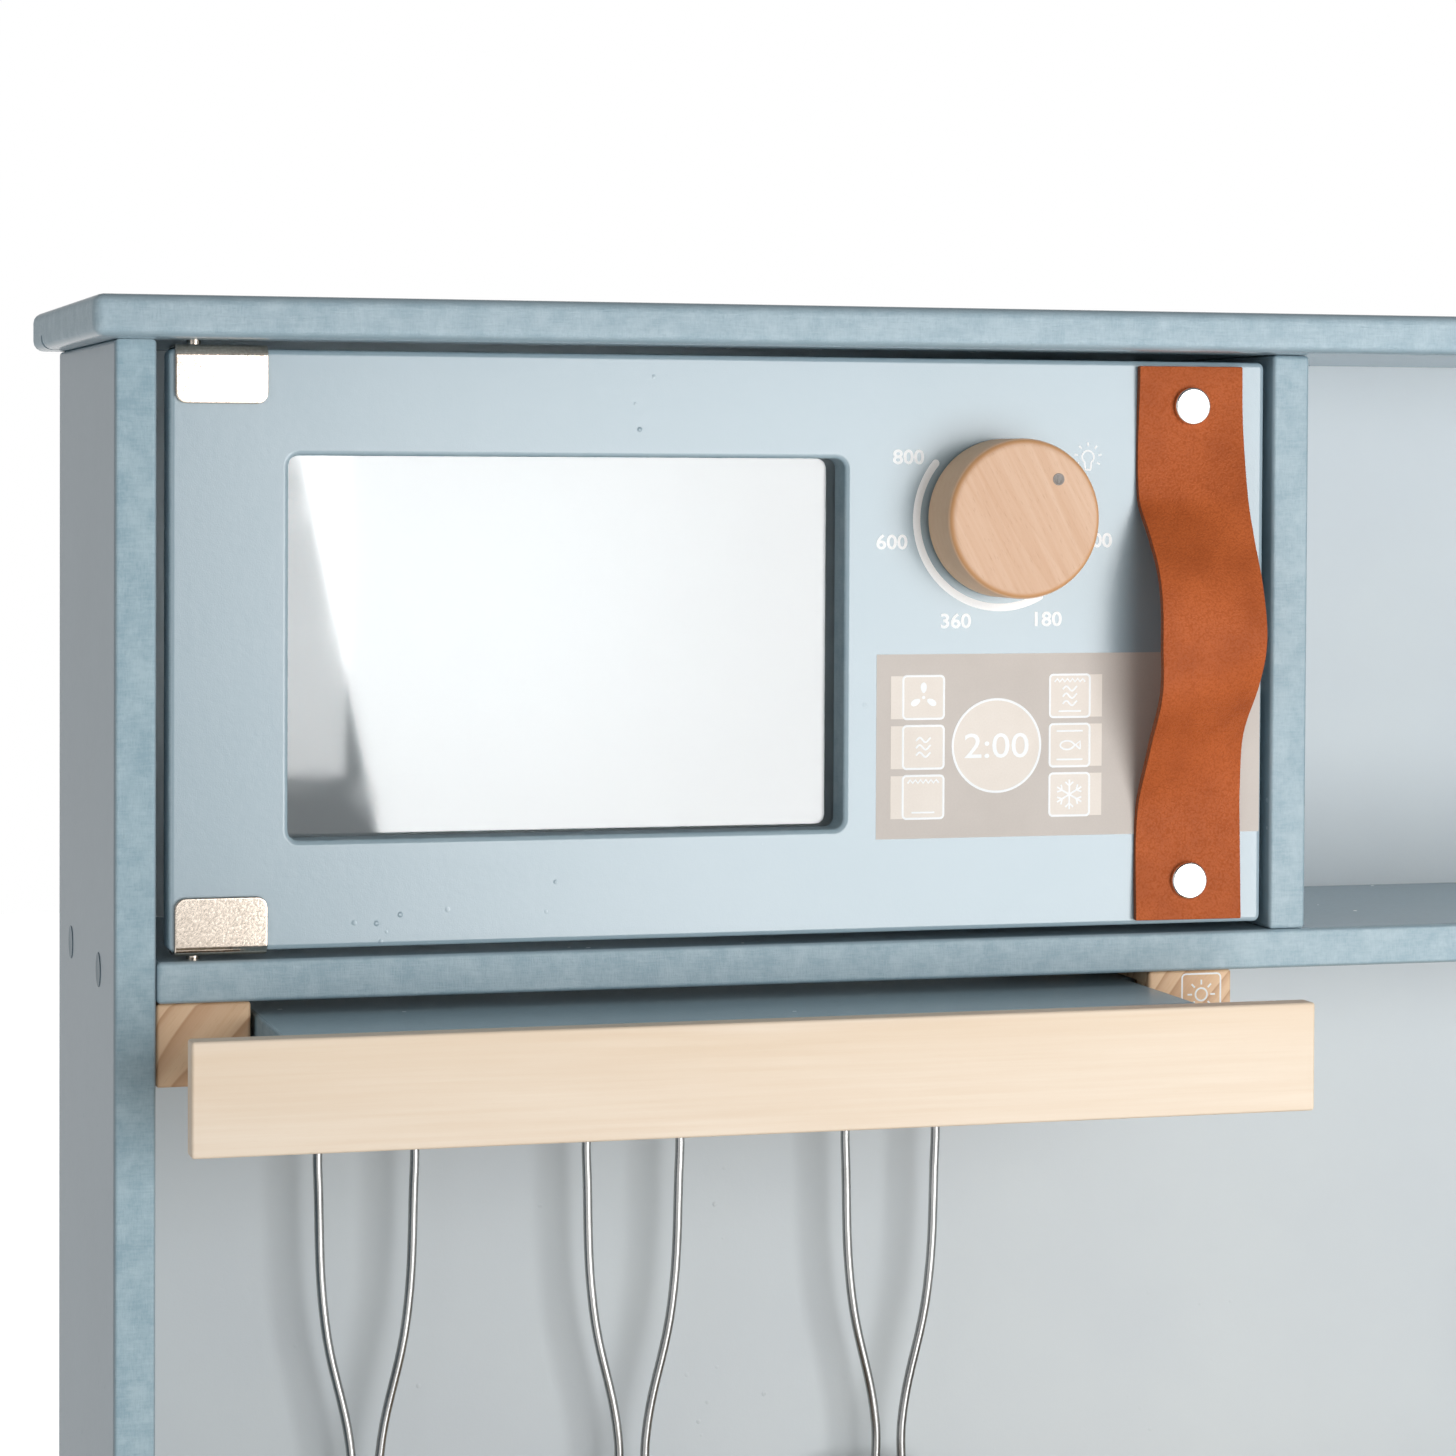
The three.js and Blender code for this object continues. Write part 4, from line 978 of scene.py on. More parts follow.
def ray(centre: Flat, angle: float, start: float, end: float) -> list[Flat]:
    """Give both ends of a line that points away from a centre."""
    across, up = math.cos(angle), math.sin(angle)
    return [(centre[0] + reach * across, centre[1] + reach * up) for reach in (start, end)]


def rod(radius: float, low: float, high: float) -> list[Flat]:
    """Give the profile of a plain round rod."""
    return [(0, low), (radius, low), (radius, high), (0, high)]


def turned(profile: Sequence[Flat], rounds: dict[int, float], place: Matrix, steps: int = 64,
           soft: int = 4) -> Shape:
    """Turn a profile about the Z axis of its place.

    Args:
        profile: Radius and height pairs; it closes on itself, along the axis where both ends lie there.
        rounds: Radii of the profile's corners, by their index.
        place: Where the turned shape stands.
        steps: The steps round it.
        soft: The steps round a corner of the profile.
    Returns:
        The shape.
    """
    bm = bmesh.new()
    corners = [bm.verts.new((radius, 0.0, height)) for radius, height in profile]
    bm.faces.new(corners)
    for index, radius in rounds.items():
        round_corners(bm, [corners[index]], radius, soft)
    bmesh.ops.delete(bm, geom=list(bm.faces), context="FACES_ONLY")
    on_axis = [e for e in bm.edges if all(abs(v.co.x) < MERGE for v in e.verts)]
    bmesh.ops.delete(bm, geom=on_axis, context="EDGES")
    bmesh.ops.spin(bm, geom=list(bm.verts) + list(bm.edges), cent=(0, 0, 0), axis=(0, 0, 1),
                   angle=FULL_TURN, steps=steps, use_merge=True, use_duplicate=False)
    bmesh.ops.remove_doubles(bm, verts=bm.verts, dist=MERGE)
    bmesh.ops.transform(bm, matrix=place, verts=bm.verts)
    return bm


def turned_by(place: Sequence[float], angle: float, axis: str) -> Matrix:
    """Give a place that is turned about one axis."""
    return Matrix.Translation(place) @ Matrix.Rotation(angle, 4, axis)


def facing_front(place: Sequence[float]) -> Matrix:
    """Give the place of a turned shape whose Z axis points to the front."""
    return turned_by(place, QUARTER_TURN, "X")


def upright(place: Sequence[float]) -> Matrix:
    """Give the place of a turned shape that stands upright."""
    return Matrix.Translation(place)


def joined(*shapes: Shape) -> Shape:
    """Put several shapes into one.

    Args:
        shapes: The shapes; all but the first are freed.
    Returns:
        The first shape with the others in it.
    """
    first, *others = shapes
    for other in others:
        carried = mesh_of(other, "carried")
        first.from_mesh(carried)
        bpy.data.meshes.remove(carried)
    return first


def from_curve(curve: bpy.types.Curve) -> Shape:
    """Turn a curve into a mesh shape.

    Args:
        curve: The curve; it is removed.
    Returns:
        The shape.
    """
    holder = hold("curve_holder", curve)
    bm = shape_of(holder)
    bpy.data.objects.remove(holder)
    bpy.data.curves.remove(curve)
    return bm


def wire(points: Sequence[Sequence[float]], radius: float, smooth: bool = True, sides: int = 5,
         closed: bool = False) -> Shape:
    """Draw a round wire through points.

    Args:
        points: The points that it follows.
        radius: Its radius.
        smooth: Whether it bends smoothly through them.
        sides: A quarter of its sides.
        closed: Whether it closes on itself.
    Returns:
        The shape.
    """
    curve = bpy.data.curves.new("wire", "CURVE")
    curve.dimensions = "3D"
    curve.bevel_depth = radius
    curve.bevel_resolution = sides
    curve.use_fill_caps = True
    curve.resolution_u = 10
    line = curve.splines.new("BEZIER" if smooth else "POLY")
    line.use_cyclic_u = closed
    knots = line.bezier_points if smooth else line.points
    knots.add(len(points) - 1)
    for knot, point in zip(knots, points):
        knot.co = point if smooth else (*point, 1.0)
        if smooth:
            knot.handle_left_type = knot.handle_right_type = "AUTO"
    return from_curve(curve)


def cut(bm: Shape, cutter: Shape) -> Shape:
    """Cut one shape out of another.

    Args:
        bm: The shape that is cut; it is freed.
        cutter: The shape that goes; it is freed.
    Returns:
        What is left.
    """
    holders = []
    for shape in (bm, cutter):
        bmesh.ops.recalc_face_normals(shape, faces=shape.faces)
        holders.append(hold("cut_holder", mesh_of(shape, "cut")))
    tool = holders[0].modifiers.new("cut", "BOOLEAN")
    tool.operation, tool.solver, tool.object = "DIFFERENCE", "EXACT", holders[1]
    left = shape_of(holders[0])
    for holder in holders:
        mesh = holder.data
        bpy.data.objects.remove(holder)
        bpy.data.meshes.remove(mesh)
    return left


@dataclass
class Carcass:
    """The painted boards, the worktop, the back panels and their fixings."""

    finishes: Finishes
    body: str = "cabinet"
    edge_round: float = 0.0014
    top_round: float = 0.0032
    groove_play: float = 0.0003
    overrun: float = 0.001
    step_fillet: float = 0.024
    step_corner: float = 0.014
    basin_gap: float = 0.001
    basin_lip: float = 0.011
    basin_corner: float = 0.028
    cap_radius: float = 0.005
    cap_dish: float = 0.72
    cap_proud: float = 0.0003
    cap_from_front: float = 0.036
    cap_from_back: float = 0.034
    lower_cap_from_front: float = 0.06

    def build(self) -> None:
        """Build and dress every board."""
        paint = self.finishes.paint
        self.board("top_board", self.finishes.top_paint_with_painted_light, self.top_round, grooved=True)
        self.board("mid_shelf", paint[Axis.Z], self.edge_round, grooved=True)
        for node, axis in (("bottom_board", Axis.Z), ("upper_divider", Axis.X), ("toe_board", Axis.Y)):
            self.board(node, paint[axis], self.edge_round)
        self.worktop()
        for side in Side:
            self.side(side)
        dress("lower_divider", paint[Axis.X])
        dress("control_board", paint[Axis.Y])
        for panel in ("upper_back_panel", "splash_back_panel", "lower_back_panel"):
            dress(panel, self.finishes.pale)
        for catch in ("microwave_catch", "oven_catch", "cupboard_catch"):
            dress(catch, self.finishes.plastic)

    def board(self, node: str, finish: Finish, edge: float, grooved: bool = False) -> None:
        """Replace a plain board by one with round edges and its grooves.

        Args:
            node: The board.
            finish: Its material.
            edge: The radius of its edges.
            grooved: Whether it holds the back panels that reach into it.
        """
        low, high = extent(node)
        bm = rounded_block(low, high, edge)
        for panel in ("upper_back_panel", "splash_back_panel") if grooved else ():
            near, far = extent(panel)
            if near.z < high.z and far.z > low.z and near.y > low.y and high.y > far.y:
                play, over = self.groove_play, self.overrun
                start = (low.x - over, near.y - play, max(near.z - play, low.z - over))
                end = (high.x + over, far.y + play, min(far.z + play, high.z + over))
                bm = cut(bm, rounded_block(start, end, 0.0))
        settle(node + "_board", bm, finish, self.body, Slot.PAINT, node)

    def worktop(self) -> None:
        """Build the wooden worktop with the sink's cut-out."""
        low, high = extent("worktop")
        near, far = extent("sink_basin")
        inset = self.basin_lip - self.basin_gap
        hole = bmesh.new()
        corners = rectangle(near, far, inset)
        loop = level_loop(hole, corners, low.z - self.overrun, self.basin_corner - inset)
        thicken(hole, fill(hole, loop), (0, 0, high.z - low.z + 2 * self.overrun))
        slab = cut(rounded_block(low, high, self.edge_round), hole)
        settle("worktop_slab", slab, self.finishes.worktop, self.body, Slot.WORKTOP, "worktop")

    def side(self, side: Side) -> None:
        """Build a stepped side board with its fixing caps.

        Args:
            side: Which one.
        """
        node = "side_panel_" + side.word
        low, high = extent(node)
        ledge = extent("worktop")[1].z
        step = extent("mid_shelf")[0].y
        outline = [(low.y, 0.0), (high.y, 0.0), (high.y, high.z)]
        outline += [(step, high.z), (step, ledge), (low.y, ledge)]
        bm = bmesh.new()
        corners = [bm.verts.new((low.x, y, z)) for y, z in outline]
        bm.faces.new(corners)
        for corner, radius in ((corners[4], self.step_fillet), (corners[5], self.step_corner)):
            round_corners(bm, [corner], radius, 10)
        thicken(bm, list(bm.faces), (high.x - low.x, 0, 0))
        round_edges(bm, edges_across(bm, 0), self.edge_round, 4)
        settle(node + "_board", bm, self.finishes.side_paint, self.body, Slot.PAINT, node)
        self.caps(side, low, high)

    def caps(self, side: Side, low: Vector, high: Vector) -> None:
        """Add the small covers over the fixings that hold the boards.

        Args:
            side: Which side board.
            low: Its lowest corner.
            high: Its highest corner.
        """
        lower = low.y + self.lower_cap_from_front
        fronts = {
            "mid_shelf": extent("mid_shelf")[0].y + self.cap_from_front,
            "worktop": lower,
            "bottom_board": lower,
        }
        x = low.x if side is Side.LEFT else high.x
        rim, dish = self.cap_radius, self.cap_proud / 2
        profile = [*rod(rim, -self.overrun, self.cap_proud)[:3], (rim * self.cap_dish, dish)]
        shapes = []
        for board, front in fronts.items():
            for y in (front, high.y - self.cap_from_back):
                place = turned_by((x, y, middle(board).z), side.value * QUARTER_TURN, "Y")
                shapes.append(turned([*profile, (0, dish)], {2: dish}, place, 40, 2))
        settle("fixing_caps_" + side.word, joined(*shapes), self.finishes.cap, self.body, Slot.PAINT)


@dataclass
class Door:
    """A painted door on two pivot clips, with a leather strap and two screws."""

    finishes: Finishes
    label: str
    body: str
    hinge: Side = Side.LEFT
    glazed: bool = True
    corner: float = 0.002
    edge: float = 0.0016
    window_corner: float = 0.003
    pane_overlap: float = 0.008
    pane_play: float = 0.0001
    clip_wall: float = 0.0011
    clip_corner: float = 0.0032
    clip_fold: float = 0.0032
    clip_edge: float = 0.0005
    pin_radius: float = 0.002
    pin_from_clip: float = 0.0062
    pin_sunk: float = 0.0005
    pin_dome: float = 0.0008
    strap_thickness: float = 0.0024
    strap_edge: float = 0.0004
    strap_bow: float = 0.0205
    strap_ripple: float = 0.0006
    ripple_turns: float = 7.0
    ripple_aside: float = 0.35
    ripple_out: float = 0.4
    strap_crown: float = 0.0003
    strap_lean: float = 1.4
    strap_left: tuple[Flat, ...] = (
        (-1.0, 0.0), (-0.6, 0.0), (-0.37, 0.47), (-0.17, 0.97), (0.0, 1.0),
        (0.15, 0.96), (0.265, 0.78), (0.37, 0.46), (0.52, 0.0), (1.0, 0.0),
    )
    strap_right: tuple[Flat, ...] = (
        (-1.0, 0.12), (-0.75, 0.05), (-0.53, 0.0), (-0.37, 0.0), (-0.28, 0.16), (-0.135, 0.66),
        (0.01, 0.95), (0.19, 0.8), (0.37, 0.52), (0.59, 0.24), (0.82, 0.03), (1.0, 0.0),
    )
    strap_rows: int = 96
    strap_columns: int = 12
    head_height: float = 0.0018
    head_round: float = 0.0008
    back_round: float = 0.0008 / 3
    shank_radius: float = 0.002

    def build(self) -> None:
        """Build the door and all that is fixed to it."""
        self.slab()
        for end in End:
            self.clip(end)
            self.screw(end)
        self.strap()
        if self.glazed:
            dress(self.label + "_window", self.finishes.acrylic)

    def slab(self) -> None:
        """Build the door board, with its window opening and the rebate behind it."""
        node = self.label + "_door"
        low, high = extent(node)
        bm = bmesh.new()
        front = upright_loop(bm, rectangle(low.xz, high.xz), low.y, self.corner)
        if self.glazed:
            rims = self.window(bm, front, low, high)
        else:
            thicken(bm, fill(bm, front), (0, high.y - low.y, 0))
            rims = edges_across(bm, 1)
        round_edges(bm, rims, self.edge, 5)
        settle(node + "_board", bm, self.finishes.paint[Axis.Y], self.body, Slot.PAINT, node)

    def window(self, bm: Shape, front: Edges, low: Vector, high: Vector) -> Edges:
        """Draw the board back from its front, round the window and the pane's rebate.

        Args:
            bm: The shape.
            front: Its outer loop at the front.
            low: The board's lowest corner.
            high: Its highest corner.
        Returns:
            The edges to round.
        """
        near, far = extent(self.label + "_window")
        seat = near.y - self.pane_play
        overlap, play = self.pane_overlap, -self.pane_play
        loops = [front]
        for depth, inset in ((low.y, overlap), (seat, overlap), (seat, play), (high.y, play)):
            corners = rectangle(near.xz, far.xz, inset)
            loops.append(upright_loop(bm, corners, depth, self.window_corner))
        loops.append(upright_loop(bm, rectangle(low.xz, high.xz), high.y, self.corner))
        rims = [*loops[0], *loops[1], *loops[5]]
        for start, end in zip(loops, [*loops[1:], loops[0]]):
            bmesh.ops.bridge_loops(bm, edges=[*start, *end])
        bmesh.ops.recalc_face_normals(bm, faces=bm.faces)
        return rims

    def clip(self, end: End) -> None:
        """Build a folded pivot clip with its pin.

        Args:
            end: The end of the door that it sits on.
        """
        node = f"{self.label}_hinge_{end.word}"
        low, high = extent(node)
        door_low, door_high = extent(self.label + "_door")
        top = end is End.TOP
        crown = (door_high.z if top else door_low.z) + end.value * (door_low.y - low.y)
        tail, tip = (low.z, high.z) if top else (high.z, low.z)
        bm = bmesh.new()
        path = [(low.y, tail), (low.y, crown), (high.y, crown), (high.y, tail)]
        line = [bm.verts.new((low.x, y, z)) for y, z in path]
        edges = [bm.edges.new(pair) for pair in zip(line, line[1:])]
        drawn = bmesh.ops.extrude_edge_only(bm, edges=edges)["geom"]
        moved = [v for v in drawn if isinstance(v, bmesh.types.BMVert)]
        bmesh.ops.translate(bm, vec=(high.x - low.x, 0, 0), verts=moved)
        ends = edges_across(bm, 0)
        folds = [e for e in bm.edges if e not in ends and all(abs(v.co.z - crown) < MERGE for v in e.verts)]
        round_edges(bm, folds, self.clip_fold, 6)
        round_corners(bm, [v for v in bm.verts if abs(v.co.z - tail) < MERGE], self.clip_corner, 6)
        bmesh.ops.recalc_face_normals(bm, faces=bm.faces)
        front = min(bm.faces, key=lambda face: face.calc_center_median().y)
        if front.normal.y > 0:
            bmesh.ops.reverse_faces(bm, faces=bm.faces)
        wall(bm, self.clip_wall, self.clip_edge)
        pin_x = low.x + self.pin_from_clip if self.hinge is Side.LEFT else high.x - self.pin_from_clip
        place = turned_by((pin_x, (door_low.y + door_high.y) / 2, crown), 0.0 if top else HALF_TURN, "X")
        pin = turned(rod(self.pin_radius, -self.pin_sunk, abs(tip - crown)), {2: self.pin_dome}, place, 28)
        settle(node + "_clip", joined(bm, pin), self.finishes.nickel, self.body, Slot.NICKEL, node)

    def screw(self, end: End) -> None:
        """Build a strap screw with a flat round head.

        Args:
            end: The end of the strap that it holds.
        """
        node = f"{self.label}_strap_screw_{end.word}"
        low, high = extent(node)
        radius, foot = (high.x - low.x) / 2, low.y - high.y
        place = middle(node)
        place.y = low.y
        shank = [(0, foot), (self.shank_radius, foot), (self.shank_radius, -self.head_height)]
        profile = [*shank, (radius, -self.head_height), (radius, 0), (0, 0)]
        bm = turned(profile, {4: self.head_round, 3: self.back_round}, facing_front(place), soft=5)
        settle(node + "_head", bm, self.finishes.polished, self.body, Slot.NICKEL, node)

    def strap_rise(self, along: float, across: float) -> float:
        """Give how far the strap stands off the door.

        Args:
            along: The place along the strap, from -1 at its lower end to 1.
            across: The place across it, from -1 at its left edge to 1.
        Returns:
            The share of its full bow.
        """
        share = ((1 + across) / 2) ** self.strap_lean
        return eased(self.strap_left, along) * (1 - share) + eased(self.strap_right, along) * share

    def strap(self) -> None:
        """Build the bowed, slightly twisted leather strap."""
        node = self.label + "_strap"
        low, high = extent(node)
        centre, half = (low + high) / 2, (high - low) / 2
        bm = bmesh.new()
        bmesh.ops.create_grid(bm, x_segments=self.strap_columns, y_segments=self.strap_rows, size=1.0)
        for vert in bm.verts:
            across, along = vert.co.x, vert.co.y
            free = 1 - along * along
            rise = self.strap_bow * self.strap_rise(along, across)
            ripple = self.strap_ripple * math.sin(along * self.ripple_turns + across) * free
            crown = self.strap_crown * (1 - across * across) * free
            x = centre.x + across * half.x + ripple * self.ripple_aside
            vert.co = (x, high.y - rise - abs(ripple) * self.ripple_out - crown, centre.z + along * half.z)
        bmesh.ops.recalc_face_normals(bm, faces=bm.faces)
        if sum(face.normal.y for face in bm.faces) < 0:
            bmesh.ops.reverse_faces(bm, faces=bm.faces)
        wall(bm, self.strap_thickness, self.strap_edge)
        settle(node + "_leather", bm, self.finishes.leather, self.body, Slot.LEATHER, node)


@dataclass
class Knob:
    """A turned beech knob with a pointer pin in its face."""

    finishes: Finishes
    node: str
    shafted: bool = False
    standoff: float = 0.0006
    thickness: float = 0.021
    face_round: float = 0.0025
    back_round: float = 0.0016
    pointer_radius: float = 0.0018
    pointer_out: float = 0.0155
    pointer_angle: float = math.radians(49)
    pointer_deep: float = 0.0016
    pointer_proud: float = 0.00012
    pointer_dish: float = 0.00004
    pointer_lip: Flat = (0.8, 0.7)
    bar_sunk: float = 0.00018
    bar_half: Flat = (0.16, 0.66)
    shaft_radius: float = 0.003
    head_radius: float = 0.007
    head_height: float = 0.002
    head_round: float = 0.0004

    def build(self, front: float) -> None:
        """Build the knob.

        Args:
            front: The depth of the board that it stands on.
        """
        low, high = extent(self.node)
        centre, radius = (low + high) / 2, (high.x - low.x) / 2
        face, back = self.standoff + self.thickness, self.standoff
        place = facing_front((centre.x, front, centre.z))
        bore = [(self.shaft_radius, back), (self.shaft_radius, face / 2), (0, face / 2)]
        profile = [(0, face), (radius, face), (radius, back), *([(0, back)] if self.shafted else bore)]
        bm = turned(profile, {2: self.back_round, 1: self.face_round}, place, 96, 6)
        if self.shafted:
            tail = front - high.y
            stem = rod(self.shaft_radius, 2 * back, tail + self.head_height)[:3]
            stem += [(self.head_radius, tail + self.head_height), (self.head_radius, tail), (0, tail)]
            bm = joined(bm, turned(stem, {4: self.head_round}, place, 40, 3))
        settle(self.node + "_turned", bm, self.finishes.knob, self.node, Slot.BEECH, self.node)
        self.pointer(centre, front - face)

    def pointer(self, centre: Vector, face: float) -> None:
        """Set the pointer pin into the face.

        Args:
            centre: The knob's middle.
            face: The depth of its face.
        """
        x = centre.x + self.pointer_out * math.cos(self.pointer_angle)
        z = centre.z + self.pointer_out * math.sin(self.pointer_angle)
        rim, proud, dish = self.pointer_radius, self.pointer_proud, self.pointer_dish
        lip, well = self.pointer_lip
        profile = [*rod(rim, -self.pointer_deep, proud)[:3], (rim * lip, proud), (rim * well, dish)]
        pin = turned([*profile, (0, dish)], {2: dish}, facing_front((x, face, z)), 32, 2)
        wide, tall = rim * self.bar_half[0], rim * self.bar_half[1]
        low, high = (x - wide, face - self.bar_sunk, z - tall), (x + wide, face, z + tall)
        bar = rounded_block(low, high, dish, 2)
        settle(self.node + "_pointer", joined(pin, bar), self.finishes.dark_ink, self.node, Slot.STEEL)


@dataclass
class Printer:
    """Prints flat graphics on an upright face as thin raised ink."""

    body: str
    face: float
    ink: float = 0.00006
    sunk: float = 0.00004
    font_rise: float = 0.7

    def lay(self, name: str, shapes: Sequence[Shape], finish: Finish, layer: int = 0) -> None:
        """Settle printed shapes as one piece.

        Args:
            name: The piece's name.
            shapes: Its shapes.
            finish: The ink.
            layer: How many inks lie under it.
        """
        bm = joined(*shapes)
        bmesh.ops.translate(bm, vec=(0, -layer * self.ink, 0), verts=bm.verts)
        settle(name, bm, finish, self.body, Slot.PLASTIC, weighted=False)

    def sheet(self, low: Flat, high: Flat, corner: float = 0.0) -> Shape:
        """Print a filled rectangle.

        Args:
            low: Its lower left corner.
            high: Its upper right corner.
            corner: The radius of its corners.
        Returns:
            The shape.
        """
        bm = bmesh.new()
        loop = upright_loop(bm, rectangle(low, high), self.face + self.sunk, corner)
        thicken(bm, fill(bm, loop), (0, -self.ink - self.sunk, 0))
        return bm

    def patch(self, points: Sequence[Flat]) -> Shape:
        """Print a filled outline.

        Args:
            points: Its points, in order.
        Returns:
            The shape.
        """
        bm = bmesh.new()
        face = bm.faces.new([bm.verts.new((x, self.face + self.sunk, z)) for x, z in points])
        thicken(bm, [face], (0, -self.ink - self.sunk, 0))
        return bm

    def disc(self, centre: Flat, radius: float, steps: int = 64) -> Shape:
        """Print a filled disc with a number of steps round it."""
        place = facing_front((centre[0], self.face, centre[1]))
        return turned(rod(radius, -self.sunk, self.ink), {}, place, steps)

    def stroke(self, points: Sequence[Flat], width: float, closed: bool = False) -> Shape:
        """Print a line with round edges.

        Args:
            points: The points that it follows.
            width: Its width.
            closed: Whether it closes on itself.
        Returns:
            The shape.
        """
        bm = wire([(x, 0, z) for x, z in points], width / 2, False, 2, closed)
        bmesh.ops.scale(bm, vec=(1, 2 * self.ink / width, 1), verts=bm.verts)
        bmesh.ops.translate(bm, vec=(0, self.face, 0), verts=bm.verts)
        return bm

    def frame(self, low: Flat, high: Flat, corner: float, width: float) -> Shape:
        """Print the outline of a rectangle with round corners.

        Args:
            low: Its lower left corner.
            high: Its upper right corner.
            corner: The radius of its corners.
            width: The line's width.
        Returns:
            The shape.
        """
        left_low, right_low, right_high, left_high = rectangle(low, high, corner)
        points = []
        for turn, centre in enumerate((right_high, left_high, left_low, right_low)):
            start = QUARTER_TURN * turn
            points += arc_points(centre, (corner, corner), start, start + QUARTER_TURN, 4)
        return self.stroke(points, width, closed=True)

    def arc(self, centre: Flat, radius: float, start: float, end: float, width: float) -> Shape:
        """Print part of a circle with round ends.

        Args:
            centre: Its centre.
            radius: Its radius.
            start: The angle that it starts at.
            end: The angle that it ends at.
            width: The line's width.
        Returns:
            The shape.
        """
        steps = max(6, int((end - start) / math.radians(4)))
        points = arc_points(centre, (radius, radius), start, end, steps)
        ends = [self.disc(point, width / 2, 24) for point in (points[0], points[-1])]
        return joined(self.stroke(points, width), *ends)

    def ring(self, centre: Flat, radius: float, width: float) -> Shape:
        """Print a whole circle as a line."""
        return self.stroke(arc_points(centre, (radius, radius), 0.0, FULL_TURN, 90)[:-1], width, closed=True)

    def words(self, text: str, centre: Flat, height: float, squeeze: float, weight: float) -> Shape:
        """Print plain numbers.

        Args:
            text: The numbers.
            centre: Their middle.
            height: The height of a digit.
            squeeze: Their width, as a share of the type's own.
            weight: How much bolder they are than the type, as a share of their height.
        Returns:
            The shape.
        """
        curve = bpy.data.curves.new("numbers", "FONT")
        curve.body = text
        curve.align_x, curve.align_y = "CENTER", "CENTER"
        curve.size = height / self.font_rise
        curve.resolution_u = 4
        curve.offset = height * weight
        curve.extrude = (self.ink + self.sunk) / 2
        bm = from_curve(curve)
        reach = [vert.co.y for vert in bm.verts]
        bmesh.ops.translate(bm, vec=(0, -(max(reach) + min(reach)) / 2, 0), verts=bm.verts)
        bmesh.ops.scale(bm, vec=(squeeze, 1, 1), verts=bm.verts)
        place = facing_front((centre[0], self.face - (self.ink - self.sunk) / 2, centre[1]))
        bmesh.ops.transform(bm, matrix=place, verts=bm.verts)
        return bm


